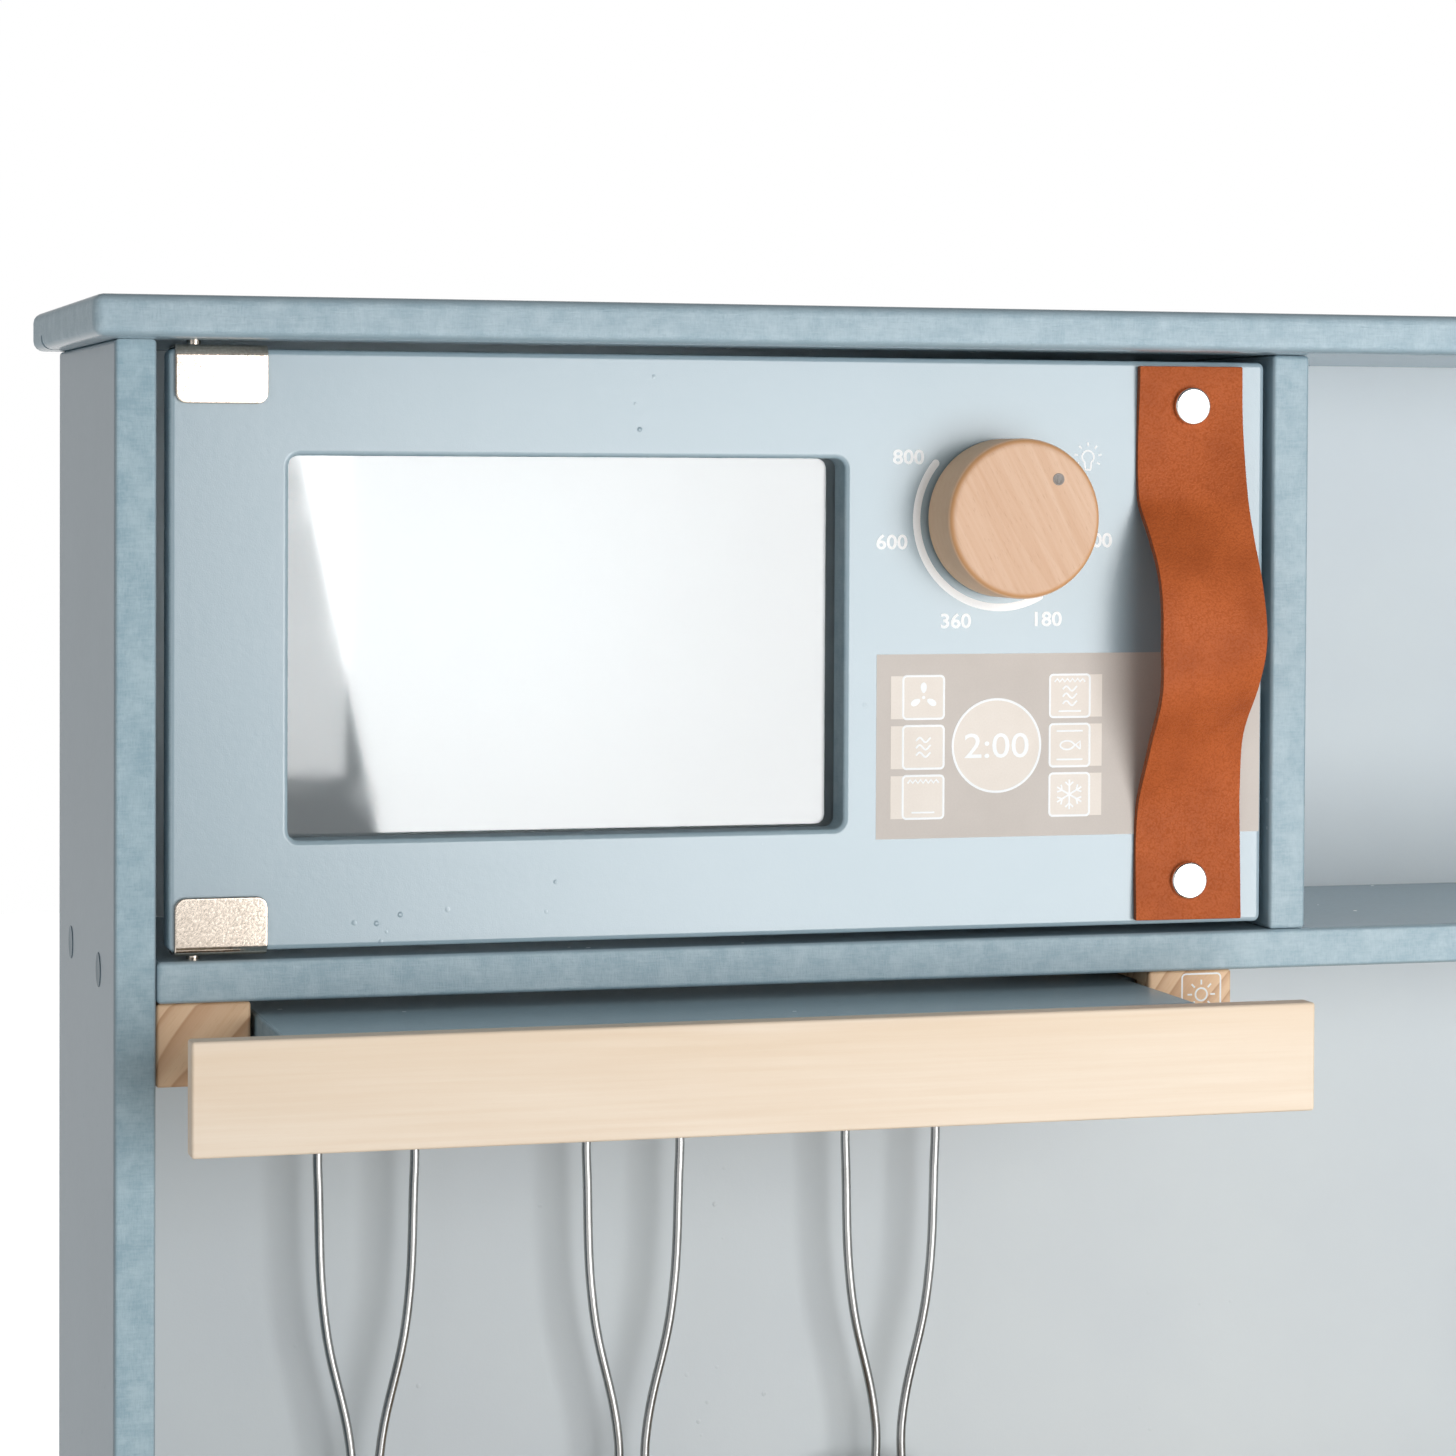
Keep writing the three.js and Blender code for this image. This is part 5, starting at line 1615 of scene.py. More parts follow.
@dataclass
class MicrowaveFace:
    """The white and beige graphics printed on the microwave door, placed from its knob's middle."""

    finishes: Finishes
    node: str = "microwave_door"
    dial_centre: Flat = (-0.0003, -0.0004)
    dial_radius: float = 0.02645
    dial_line: float = 0.0023
    dial_start: float = math.radians(141)
    dial_end: float = math.radians(298.5)
    digit: float = 0.0042
    digit_squeeze: float = 1.1
    digit_weight: float = 0.032
    numbers: tuple[tuple[str, Flat], ...] = (
        ("800", (-0.0294, 0.0181)),
        ("600", (-0.0345, -0.0072)),
        ("360", (-0.0143, -0.0308)),
        ("180", (0.0146, -0.0304)),
        ("100", (0.0306, -0.0067)),
    )
    hairline: float = 0.00056
    rim_line: float = 0.000728
    frame_line: float = 0.000672
    bulb: Flat = (0.0276, 0.0184)
    bulb_radius: float = 0.0019
    bulb_neck: float = 0.45
    bulb_open: Flat = (math.radians(-55), math.radians(235))
    rays: int = 7
    first_ray: float = math.radians(-30)
    ray_apart: float = math.radians(40)
    ray_start: float = 0.0033
    ray_end: float = 0.0044
    panel_low: Flat = (-0.039, -0.0958)
    panel_high: Flat = (0.0842, -0.0407)
    clock: Flat = (-0.0011, -0.0683)
    clock_radius: float = 0.0139
    clock_digit: float = 0.0074
    clock_squeeze: float = 1.16
    clock_weight: float = 0.004
    symbol: float = 0.0128
    symbol_corner: float = 0.0011
    left_symbols: float = -0.03065
    right_symbols: float = 0.01585
    rows: tuple[float, float, float] = (-0.0536, -0.0685, -0.0834)
    left_block: float = -0.0345
    right_block: float = 0.0326
    hub: float = 0.0005
    blade: float = 0.0032
    blade_out: float = 2.6
    blade_width: float = 0.6
    blade_swell: float = 0.15
    wave_width: float = 0.0046
    wave_rise: float = 0.0007
    wave_pitch: float = 0.0022
    wave_turns: float = 1.25
    wave_lag: float = 0.06
    grill_width: float = 0.0098
    grill_rise: float = 0.0005
    grill_up: float = 0.0047
    bar_down: float = 0.0046
    bar_width: float = 0.0072
    fish_size: Flat = (0.0022, 0.0013)
    fish_back: float = 0.0008
    fish_open: Flat = (math.radians(20), math.radians(340))
    tail: Flat = (0.0034, 0.0012)
    water_up: float = 0.0043
    water_width: float = 0.0084
    flake: float = 0.0045
    twig: Flat = (0.0026, 0.0040)
    twig_turn: float = 0.32

    def build(self) -> None:
        """Print the dial and the display."""
        knob = middle("microwave_knob")
        self.zero = (knob.x, knob.z)
        self.press = Printer(self.node, extent(self.node)[0].y)
        self.dial()
        self.display()

    def at(self, across: float, up: float) -> Flat:
        """Give the place of a point that is measured from the knob's middle."""
        return (self.zero[0] + across, self.zero[1] + up)

    def dial(self) -> None:
        """Print the dial's arc, its numbers and the lamp symbol."""
        white, press = self.finishes.white_ink, self.press
        centre = self.at(*self.dial_centre)
        arc = press.arc(centre, self.dial_radius, self.dial_start, self.dial_end, self.dial_line)
        press.lay("dial_arc", [arc], white)
        type_of = (self.digit, self.digit_squeeze, self.digit_weight)
        shapes = [press.words(text, self.at(*place), *type_of) for text, place in self.numbers]
        press.lay("dial_numbers", shapes, white)
        press.lay("lamp_symbol", self.lamp(), white)

    def lamp(self) -> list[Shape]:
        """Draw a lamp with rays.

        Returns:
            The shapes.
        """
        centre = self.at(*self.bulb)
        radius = self.bulb_radius
        neck, foot = radius * self.bulb_neck, centre[1] - radius * 2
        globe = arc_points(centre, (radius, radius), *self.bulb_open, 16)
        outline = [(centre[0] + neck, foot), *globe, (centre[0] - neck, foot), (centre[0] + neck, foot)]
        angles = [self.first_ray + self.ray_apart * step for step in range(self.rays)]
        lines = [outline, *(ray(centre, angle, self.ray_start, self.ray_end) for angle in angles)]
        return [self.press.stroke(line, self.hairline) for line in lines]

    def display(self) -> None:
        """Print the display panel with its clock and six symbols."""
        white, press = self.finishes.white_ink, self.press
        panel = press.sheet(self.at(*self.panel_low), self.at(*self.panel_high))
        press.lay("display_panel", [panel], self.finishes.beige_ink)
        clock = self.at(*self.clock)
        half = self.symbol / 2
        fields = [press.disc(clock, self.clock_radius)]
        blocks = ((self.left_block, self.left_symbols + self.symbol), (self.right_symbols, self.right_block))
        for row in self.rows:
            for start, end in blocks:
                fields.append(press.sheet(self.at(start, row - half), self.at(end, row + half)))
        press.lay("display_fields", fields, self.finishes.cream_ink, 1)
        press.lay("clock_rim", [press.ring(clock, self.clock_radius, self.rim_line)], white, 2)
        time = press.words("2:00", clock, self.clock_digit, self.clock_squeeze, self.clock_weight)
        press.lay("clock_time", [time], white, 2)
        shapes = []
        drawings = ((self.fan, self.broil), (self.waves, self.fish), (self.grill, self.snow))
        for row, pair in zip(self.rows, drawings):
            for start, draw in zip((self.left_symbols, self.right_symbols), pair):
                low, high = self.at(start, row - half), self.at(start + self.symbol, row + half)
                shapes.append(press.frame(low, high, self.symbol_corner, self.frame_line))
                shapes += draw(*self.at(start + half, row))
        press.lay("display_symbols", shapes, white, 2)

    def fan(self, x: float, z: float) -> list[Shape]:
        """Draw a fan of three blades round a point.

        Args:
            x: Its middle.
            z: Its height.
        Returns:
            The shapes.
        """
        shapes = [self.press.disc((x, z), self.hub, 20)]
        half = self.blade / 2
        for step in range(3):
            angle = QUARTER_TURN + FULL_TURN * step / 3
            turn = Matrix.Rotation(angle, 2)
            outline = []
            for ahead, aside in arc_points((0.0, 0.0), (1.0, 1.0), 0.0, FULL_TURN, 16)[:-1]:
                out = self.hub * self.blade_out + half * (1 + ahead)
                wide = half * self.blade_width * aside * (1 + self.blade_swell * ahead)
                outline.append(tuple(Vector((x, z)) + turn @ Vector((out, wide))))
            shapes.append(self.press.patch(outline))
        return shapes

    def waves(self, x: float, z: float) -> list[Shape]:
        """Draw three wavy lines over one another.

        Args:
            x: Its middle.
            z: Its height.
        Returns:
            The shapes.
        """
        steps = [i / 28 for i in range(29)]
        turns = [self.wave_turns * step - self.wave_lag for step in steps]
        heights = [self.wave_rise * math.sin(FULL_TURN * turn) for turn in turns]
        wave = [(x + self.wave_width * (step - 0.5), z + rise) for step, rise in zip(steps, heights)]
        rows = (-self.wave_pitch, 0.0, self.wave_pitch)
        return [self.press.stroke([(a, b + row) for a, b in wave], self.hairline) for row in rows]

    def bar(self, x: float, z: float, width: float) -> Shape:
        """Draw a level line of a width round its middle."""
        return self.press.stroke([(x - width / 2, z), (x + width / 2, z)], self.hairline)

    def grill(self, x: float, z: float) -> list[Shape]:
        """Draw a grill's zigzag over a line.

        Args:
            x: Its middle.
            z: Its height.
        Returns:
            The shapes.
        """
        rises = [self.grill_rise * (1 if step % 2 else -1) for step in range(13)]
        teeth = [(self.grill_width * (step / 12 - 0.5), rise) for step, rise in enumerate(rises)]
        zigzag = [(x + across, z + self.grill_up + up) for across, up in teeth]
        return [self.press.stroke(zigzag, self.hairline), self.bar(x, z - self.bar_down, self.bar_width)]

    def broil(self, x: float, z: float) -> list[Shape]:
        """Draw a zigzag, three waves and a line."""
        return [*self.waves(x, z), *self.grill(x, z)]

    def fish(self, x: float, z: float) -> list[Shape]:
        """Draw a fish between two lines.

        Args:
            x: Its middle.
            z: Its height.
        Returns:
            The shapes.
        """
        body = arc_points((x - self.fish_back, z), self.fish_size, *self.fish_open, 18)
        low, high = (x + self.tail[0], z - self.tail[1]), (x + self.tail[0], z + self.tail[1])
        lines = [self.bar(x, z + way * self.water_up, self.water_width) for way in (1, -1)]
        return [self.press.stroke([low, *body, high, low], self.hairline), *lines]

    def snow(self, x: float, z: float) -> list[Shape]:
        """Draw a snowflake.

        Args:
            x: Its middle.
            z: Its height.
        Returns:
            The shapes.
        """
        shapes = []
        for step in range(6):
            angle = QUARTER_TURN + FULL_TURN * step / 6
            inner, outer = self.twig
            tips = [ray((x, z), angle + turn, inner, outer)[1] for turn in (-self.twig_turn, self.twig_turn)]
            fork = ray((x, z), angle, inner, outer)[0]
            for line in (ray((x, z), angle, 0.0, self.flake), [tips[0], fork, tips[1]]):
                shapes.append(self.press.stroke(line, self.hairline))
        return shapes


@dataclass
class Hood:
    """The pull-out hood between two pine blocks."""

    finishes: Finishes
    body: str = "hood"
    edge: float = 0.0011
    fascia_edge: float = 0.0009
    tongue: float = 0.0045
    tongue_start: float = 0.06
    groove_from_front: float = 0.01
    groove_depth: float = 0.0042
    groove_play: float = 0.0003
    overrun: float = 0.001
    mark: float = 0.0126
    mark_aside: float = 0.0036
    mark_corner: float = 0.0012
    mark_line: float = 0.00055
    sun_radius: float = 0.0019
    rays: int = 8
    ray_start: float = 0.0030
    ray_end: float = 0.0045

    def build(self) -> None:
        """Build the slab, the fascia, the blocks and the lamp mark."""
        self.slab()
        fascia = rounded_block(*extent("hood_fascia"), self.fascia_edge)
        settle("hood_fascia_board", fascia, self.finishes.poplar, self.body, Slot.POPLAR, "hood_fascia")
        for side in Side:
            self.block(side)
        self.sun()

    def slab(self) -> None:
        """Build the sliding slab with its side tongues."""
        low, high = extent("hood_slab")
        shoulder = low.y + self.tongue_start
        left, right = low.x + self.tongue, high.x - self.tongue
        outline = [(left, low.y), (right, low.y), (right, shoulder), (high.x, shoulder)]
        outline += [(high.x, high.y), (low.x, high.y), (low.x, shoulder), (left, shoulder)]
        bm = bmesh.new()
        face = bm.faces.new([bm.verts.new((x, y, low.z)) for x, y in outline])
        thicken(bm, [face], (0, 0, high.z - low.z))
        round_edges(bm, [e for e in bm.edges if e.calc_face_angle_signed(0) > 0.1], self.edge, 4)
        settle("hood_slab_board", bm, self.finishes.deep, self.body, Slot.PAINT, "hood_slab")

    def block(self, side: Side) -> None:
        """Build a pine block with the groove that the slab's tongue slides in.

        Args:
            side: Which one.
        """
        node = "hood_block_" + side.word
        low, high = extent(node)
        slab_low, slab_high = extent("hood_slab")
        inner = high.x if side is Side.LEFT else low.x
        reach = sorted((inner + side.value * self.groove_depth, inner - side.value * self.overrun))
        start = (reach[0], low.y + self.groove_from_front, slab_low.z - self.groove_play)
        end = (reach[1], high.y + self.overrun, slab_high.z + self.groove_play)
        bm = cut(rounded_block(low, high, self.edge), rounded_block(start, end, 0.0))
        settle(node + "_wood", bm, self.finishes.block, "cabinet", Slot.PINE, node)

    def sun(self) -> None:
        """Print the lamp mark on the right block."""
        low, high = extent("hood_block_right")
        press = Printer("cabinet", low.y)
        half, line = self.mark / 2, self.mark_line
        x, z = (low.x + high.x) / 2 + self.mark_aside, high.z - self.edge - half
        shapes = [press.frame((x - half, z - half), (x + half, z + half), self.mark_corner, line)]
        shapes.append(press.ring((x, z), self.sun_radius, line))
        for step in range(self.rays):
            beam = ray((x, z), FULL_TURN * step / self.rays, self.ray_start, self.ray_end)
            shapes.append(press.stroke(beam, line))
        press.lay("lamp_mark", shapes, self.finishes.white_ink)


@dataclass
class Utensils:
    """The hook rail, its three hooks and the wire-handled utensils."""

    finishes: Finishes
    rail_edge: float = 0.0016
    plate_thickness: float = 0.0016
    plate_round: float = 0.0006
    wire_radius: float = 0.0018
    hook_bend: float = 0.004
    hook_lip: float = 0.006
    screw_radius: float = 0.0012
    screw_rise: float = 0.0005
    screw_round: float = 0.0003
    screw_out: float = 0.62
    handle_radius: float = 0.0015
    loop_half: float = 0.015
    neck_half: float = 0.0045
    waist_half: float = 0.0129
    neck_share: float = 0.86
    waist_share: float = 0.5
    shoulder_share: float = 0.16
    weld_length: float = 0.016
    blade_half: float = 0.024
    shoulder_half: float = 0.018
    blade_length: float = 0.052
    blade_thickness: float = 0.0014
    blade_corner: float = 0.006
    blade_edge: float = 0.0004
    slots: int = 4
    slot_half: float = 0.0016
    slot_round: float = 0.98
    slot_pitch: float = 0.008
    slot_length: float = 0.03
    bowl_radius: float = 0.024
    bowl_depth: float = 0.011
    bowl_wall: float = 0.0012

    def build(self) -> None:
        """Build the rail, the hooks and the utensils."""
        rail = rounded_block(*extent("hook_rail"), self.rail_edge)
        settle("hook_rail_wood", rail, self.finishes.pine, "cabinet", Slot.PINE, "hook_rail")
        for place in ("left", "middle", "right"):
            self.hook("hook_" + place)
        for head in Head:
            self.utensil(head)

    def hook(self, node: str) -> None:
        """Build a hook: a round plate with a bent peg and two screws.

        Args:
            node: The hook.
        """
        low, high = extent(node)
        x, radius = (low.x + high.x) / 2, (high.x - low.x) / 2
        z, tip = low.z + radius, low.y + self.wire_radius
        front = high.y - self.plate_thickness
        start = high.y - self.plate_thickness / 2
        profile = rod(radius, 0, self.plate_thickness)
        plate = turned(profile, {2: self.plate_round}, facing_front((x, high.y, z)), 48)
        path = [(start, z), ((start + tip) / 2, z), (tip + self.hook_bend, z)]
        path += [(tip, z + self.hook_bend), (tip, z + self.hook_lip)]
        peg = wire([(x, y, up) for y, up in path], self.wire_radius)
        profile = rod(self.screw_radius, 0, self.screw_rise)
        places = [facing_front((x + way * radius * self.screw_out, front, z)) for way in (-1, 1)]
        screws = [turned(profile, {2: self.screw_round}, place, 20, 2) for place in places]
        bm = joined(plate, peg, *screws)
        settle(node + "_steel", bm, self.finishes.polished, "cabinet", Slot.STEEL, node)

    def handle(self, x: float, y: float, top: float, neck: float) -> Shape:
        """Draw a handle's wire loop.

        Args:
            x: Its middle.
            y: Its depth.
            top: The height of the loop's middle.
            neck: The height where its legs meet the head.
        Returns:
            The shape.
        """
        bends = (
            (self.neck_share, self.neck_half),
            (self.waist_share, self.waist_half),
            (self.shoulder_share, self.loop_half),
        )
        left = [(-self.neck_half, neck - self.weld_length), (-self.neck_half, neck)]
        left += [(-half, top - (top - neck) * share) for share, half in bends]
        left.append((-self.loop_half, top))
        crown = arc_points((0.0, top), (self.loop_half, self.loop_half), HALF_TURN, 0.0, 8)[1:-1]
        right = [(-across, up) for across, up in reversed(left)]
        return wire([(x + across, y, up) for across, up in [*left, *crown, *right]], self.handle_radius)

    def utensil(self, head: Head) -> None:
        """Build a utensil: its handle and its head.

        Args:
            head: What it ends in.
        """
        node = head.word
        low, high = extent(node)
        x, y = (low.x + high.x) / 2, low.y + self.handle_radius
        top = high.z - self.handle_radius - self.loop_half
        if head is Head.LADLE:
            neck = low.z + 2 * self.bowl_radius - 2 * self.handle_radius
            shape = self.bowl(x, y, low.z + self.bowl_radius)
        else:
            neck = low.z + self.blade_length - self.handle_radius
            shape = self.blade(x, y, low.z, head is Head.SLOTTED_TURNER)
        bm = joined(self.handle(x, y, top, neck), shape)
        settle(node + "_steel", bm, self.finishes.wire, node, Slot.STEEL, node)

    def blade(self, x: float, y: float, foot: float, slotted: bool) -> Shape:
        """Make a turner's flat blade.

        Args:
            x: Its middle.
            y: Its depth.
            foot: Its lower edge.
            slotted: Whether it has slots.
        Returns:
            The shape.
        """
        thick = self.blade_thickness
        front, head = y - thick / 2, foot + self.blade_length
        wide, narrow = self.blade_half, self.shoulder_half
        corners = [(x - wide, foot), (x + wide, foot), (x + narrow, head), (x - narrow, head)]
        bm = bmesh.new()
        face = bm.faces.new([bm.verts.new((across, front, up)) for across, up in corners])
        round_corners(bm, face.verts, self.blade_corner, 6)
        thicken(bm, bm.faces, (0, thick, 0))
        start = foot + self.blade_corner
        for step in range(self.slots if slotted else 0):
            centre = x + (step - (self.slots - 1) / 2) * self.slot_pitch
            low = (centre - self.slot_half, start)
            high = (centre + self.slot_half, start + self.slot_length)
            hole = bmesh.new()
            loop = upright_loop(hole, rectangle(low, high), front - thick, self.slot_half * self.slot_round)
            thicken(hole, fill(hole, loop), (0, thick * 3, 0))
            bm = cut(bm, hole)
        round_edges(bm, sharp_edges(bm), self.blade_edge, 2)
        return bm

    def bowl(self, x: float, y: float, z: float) -> Shape:
        """Make the ladle's bowl, open to the front.

        Args:
            x: Its middle.
            y: The depth of its rim.
            z: Its height.
        Returns:
            The shape.
        """
        outer = arc_points((0.0, 0.0), (self.bowl_radius, self.bowl_depth), -QUARTER_TURN, 0.0, 12)
        radii = (self.bowl_radius - self.bowl_wall, self.bowl_depth - self.bowl_wall)
        inner = arc_points((0.0, 0.0), radii, 0.0, -QUARTER_TURN, 12)
        return turned([*outer, *inner], {}, facing_front((x, y, z)), 56)


@dataclass
class Hob:
    """The enamelled plate with two beech rings."""

    finishes: Finishes
    body: str = "cabinet"
    corner: float = 0.008
    edge: float = 0.0009
    ring_hole: float = 0.014
    ring_round: float = 0.0012
    groove_share: float = 0.62
    groove_width: float = 0.0022
    groove_depth: float = 0.0008
    zone_gap: float = 0.006
    zone_line: float = 0.0009
    zone_ink: float = 0.0001

    def build(self) -> None:
        """Build the plate, the rings and the printed zones."""
        low, high = extent("hob_plate")
        bm = bmesh.new()
        loop = level_loop(bm, rectangle(low, high), low.z, self.corner)
        thicken(bm, fill(bm, loop), (0, 0, high.z - low.z))
        top = [e for e in bm.edges if all(v.co.z > high.z - MERGE for v in e.verts)]
        round_edges(bm, top, self.edge, 4)
        settle("hob_plate_enamel", bm, self.finishes.hob, self.body, Slot.HOB, "hob_plate")
        zones = joined(*(self.ring("burner_" + size, high.z) for size in ("large", "small")))
        settle("hob_zones", zones, self.finishes.white_ink, self.body, Slot.PLASTIC, weighted=False)

    def ring(self, node: str, plate: float) -> Shape:
        """Build a beech ring, and make the printed line round it.

        Args:
            node: The ring.
            plate: The height of the plate's top.
        Returns:
            The line's shape.
        """
        low, high = extent(node)
        centre = (low + high) / 2
        radius, rise = (high.x - low.x) / 2, high.z - low.z
        sunk = rise - self.groove_depth
        near = self.groove_share * radius - self.groove_width / 2
        far = self.groove_share * radius + self.groove_width / 2
        profile = [(self.ring_hole, 0), (radius, 0), (radius, rise), (far, rise)]
        profile += [(far, sunk), (near, sunk), (near, rise), (self.ring_hole, rise)]
        rounds = {7: self.ring_round, 2: self.ring_round}
        bm = turned(profile, rounds, upright((centre.x, centre.y, low.z)), 96)
        settle(node + "_turned", bm, self.finishes.beech, self.body, Slot.BEECH, node)
        start = radius + self.zone_gap
        line = rectangle((start, -self.zone_ink), (start + self.zone_line, self.zone_ink))
        return turned(line, {}, upright((centre.x, centre.y, plate)), 96)


@dataclass
class Sink:
    """The lift-out steel basin and the tap."""

    finishes: Finishes
    lip: float = 0.011
    lip_thickness: float = 0.0016
    corner: float = 0.028
    wall: float = 0.0012
    rim_edge: float = 0.0006
    bowl_round: float = 0.011
    drain_radius: float = 0.009
    strainer_lip: float = 0.003
    strainer_wall: float = 0.001
    bar_half: float = 0.0009
    flange_height: float = 0.004
    column_radius: float = 0.009
    column_edge: float = 0.0008
    column_foot: float = 0.0025
    flange_edge: float = 0.0012
    socket_radius: float = 0.0065
    socket_depth: float = 0.016
    collar_radius: float = 0.008
    collar_height: float = 0.006
    collar_edge: float = 0.001
    tube_radius: float = 0.006
    tube_slack: float = 0.92
    tube_foot: float = 0.8
    tube_straight: float = 0.006
    tube_drop: float = 0.014
    nozzle_length: float = 0.006
    nozzle_bore: Flat = (0.7, 0.75)
    nozzle_edges: Flat = (0.0006, 0.0008)
    hub_height: float = 0.04
    hub_radius: float = 0.006
    hub_edges: Flat = (0.0006, 0.0014)
    axle_radius: float = 0.0025
    stick_radius: float = 0.0022
    stick_slack: float = 0.8
    knob_radius: float = 0.0035
    play: float = 0.0003

    def build(self) -> None:
        """Build the basin and the tap's three parts."""
        self.basin()
        self.base()
        self.spout()
        self.lever()

    def basin(self) -> None:
        """Build the basin with its rim and strainer."""
        low, high = extent("sink_basin")
        inner, floor = self.lip + self.wall, low.z + self.wall
        skirt = high.z - self.lip_thickness
        steps = [(inner, floor), (inner, high.z), (0.0, high.z), (0.0, skirt)]
        steps += [(self.lip, skirt), (self.lip, low.z)]
        bm = bmesh.new()
        loops = [level_loop(bm, rectangle(low, high, inset), z, self.corner - inset) for inset, z in steps]
        for start, end in zip(loops, loops[1:]):
            bmesh.ops.bridge_loops(bm, edges=[*start, *end])
        fill(bm, loops[0])
        fill(bm, loops[-1])
        bmesh.ops.recalc_face_normals(bm, faces=bm.faces)
        round_edges(bm, loops[0], self.bowl_round, 6)
        foot = [e for e in bm.edges if all(v.co.z < low.z + MERGE for v in e.verts)]
        round_edges(bm, foot, self.bowl_round, 6)
        rim = [e for e in bm.edges if e.is_manifold and all(abs(v.co.z - high.z) < MERGE for v in e.verts)]
        round_edges(bm, [e for e in rim if e.calc_face_angle(0) > 1], self.rim_edge, 3)
        centre = (low + high) / 2
        place = upright((centre.x, centre.y, low.z + self.wall / 2))
        bm = cut(bm, turned(rod(self.drain_radius, -self.wall * 2, self.wall * 2), {}, place, 48))
        bm = joined(bm, self.strainer(centre.x, centre.y, floor))
        settle("sink_basin_steel", bm, self.finishes.brushed, "sink_basin", Slot.STEEL, "sink_basin")

    def strainer(self, x: float, y: float, floor: float) -> Shape:
        """Make the ring and cross bars over the drain.

        Args:
            x: Its middle.
            y: Its depth.
            floor: The height of the basin's floor.
        Returns:
            The shape.
        """
        outer, hole = self.drain_radius + self.strainer_lip, self.drain_radius - self.strainer_wall
        neck, play, deep = self.drain_radius - self.play, self.play, -self.wall
        profile = [(hole, deep), (neck, deep), (neck, play / 3), (outer, play / 3)]
        profile += [(outer, play * 2), (hole, play * 3)]
        shapes = [turned(profile, {4: play}, upright((x, y, floor)), 48, 3)]
        low, high = (-hole - play, -self.bar_half, deep), (hole + play, self.bar_half, 0.0)
        for angle in (0.0, QUARTER_TURN):
            bar = rounded_block(low, high, play, 2)
            bmesh.ops.transform(bar, matrix=turned_by((x, y, floor), angle, "Z"), verts=bar.verts)
            shapes.append(bar)
        return joined(*shapes)

    def base(self) -> None:
        """Build the tap's column on its flange."""
        low, high = extent("tap_base")
        centre, radius = (low + high) / 2, (high.x - low.x) / 2
        rise = high.z - low.z
        well = rise - self.socket_depth
        column, socket = self.column_radius, self.socket_radius
        profile = [*rod(radius, 0, self.flange_height)[:3], (column, self.flange_height)]
        profile += [(column, rise), (socket, rise), (socket, well), (0, well)]
        rounds = {4: self.column_edge, 3: self.column_foot, 2: self.flange_edge}
        bm = turned(profile, rounds, upright((centre.x, centre.y, low.z)))
        settle("tap_column", bm, self.finishes.polished, "cabinet", Slot.STEEL, "tap_base")

    def spout(self) -> None:
        """Build the swan-neck spout with its collar and nozzle."""
        low, high = extent("tap_spout")
        column = middle("tap_base")
        x, y, play, tube = column.x, column.y, self.play, self.tube_radius
        seat = extent("tap_base")[1].z + play
        tail = rod(self.socket_radius - play, 2 * play - self.socket_depth, 0)[:3]
        tail += rod(self.collar_radius, 0, self.collar_height)[1:]
        collar = turned(tail, {4: self.collar_edge}, upright((x, y, seat)), 48)
        far = low.y + tube
        arc = (y - far) / 2
        bend = high.z - tube - arc
        drop = bend - self.tube_drop
        path = [(y, seat + self.collar_height * self.tube_foot), (y, bend - self.tube_straight)]
        path += [*arc_points((y - arc, bend), (arc, arc), 0.0, HALF_TURN, 12), (far, drop)]
        neck = wire([(x, depth, up) for depth, up in path], tube * self.tube_slack, sides=8)
        bore, mouth = self.nozzle_bore
        tip = [(0, 0), (tube * bore, 0), (tube * mouth, -play), (tube, -play)]
        tip += [(tube, self.nozzle_length), (0, self.nozzle_length)]
        rounds = {3: self.nozzle_edges[0], 4: self.nozzle_edges[1]}
        nozzle = turned(tip, rounds, upright((x, far, drop + play)), 48, 3)
        bm = joined(collar, neck, nozzle)
        settle("tap_spout_steel", bm, self.finishes.polished, "tap_spout", Slot.STEEL, "tap_spout")

    def lever(self) -> None:
        """Build the lever on its hub."""
        low, high = extent("tap_lever")
        centre = middle("tap_base")
        hub = extent("tap_base")[0].z + self.hub_height
        start = centre.x + self.column_radius + self.play
        axle = rod(self.axle_radius, 0, start - low.x)[:3]
        profile = axle + rod(self.hub_radius, start - low.x, high.x - low.x)[1:]
        place = turned_by((low.x, centre.y, hub), QUARTER_TURN, "Y")
        body = turned(profile, {4: self.hub_edges[1], 3: self.hub_edges[0]}, place, 48)
        x, top = (start + high.x) / 2, high.z - self.knob_radius
        stick = wire([(x, centre.y, hub), (x, centre.y, top)], self.stick_radius * self.stick_slack, False)
        radii = (self.stick_radius, self.knob_radius)
        ball = arc_points((0.0, 0.0), radii, -QUARTER_TURN, QUARTER_TURN, 12)
        bm = joined(body, stick, turned(ball, {}, upright((x, centre.y, top)), 32))
        settle("tap_lever_steel", bm, self.finishes.polished, "tap_lever", Slot.STEEL, "tap_lever")


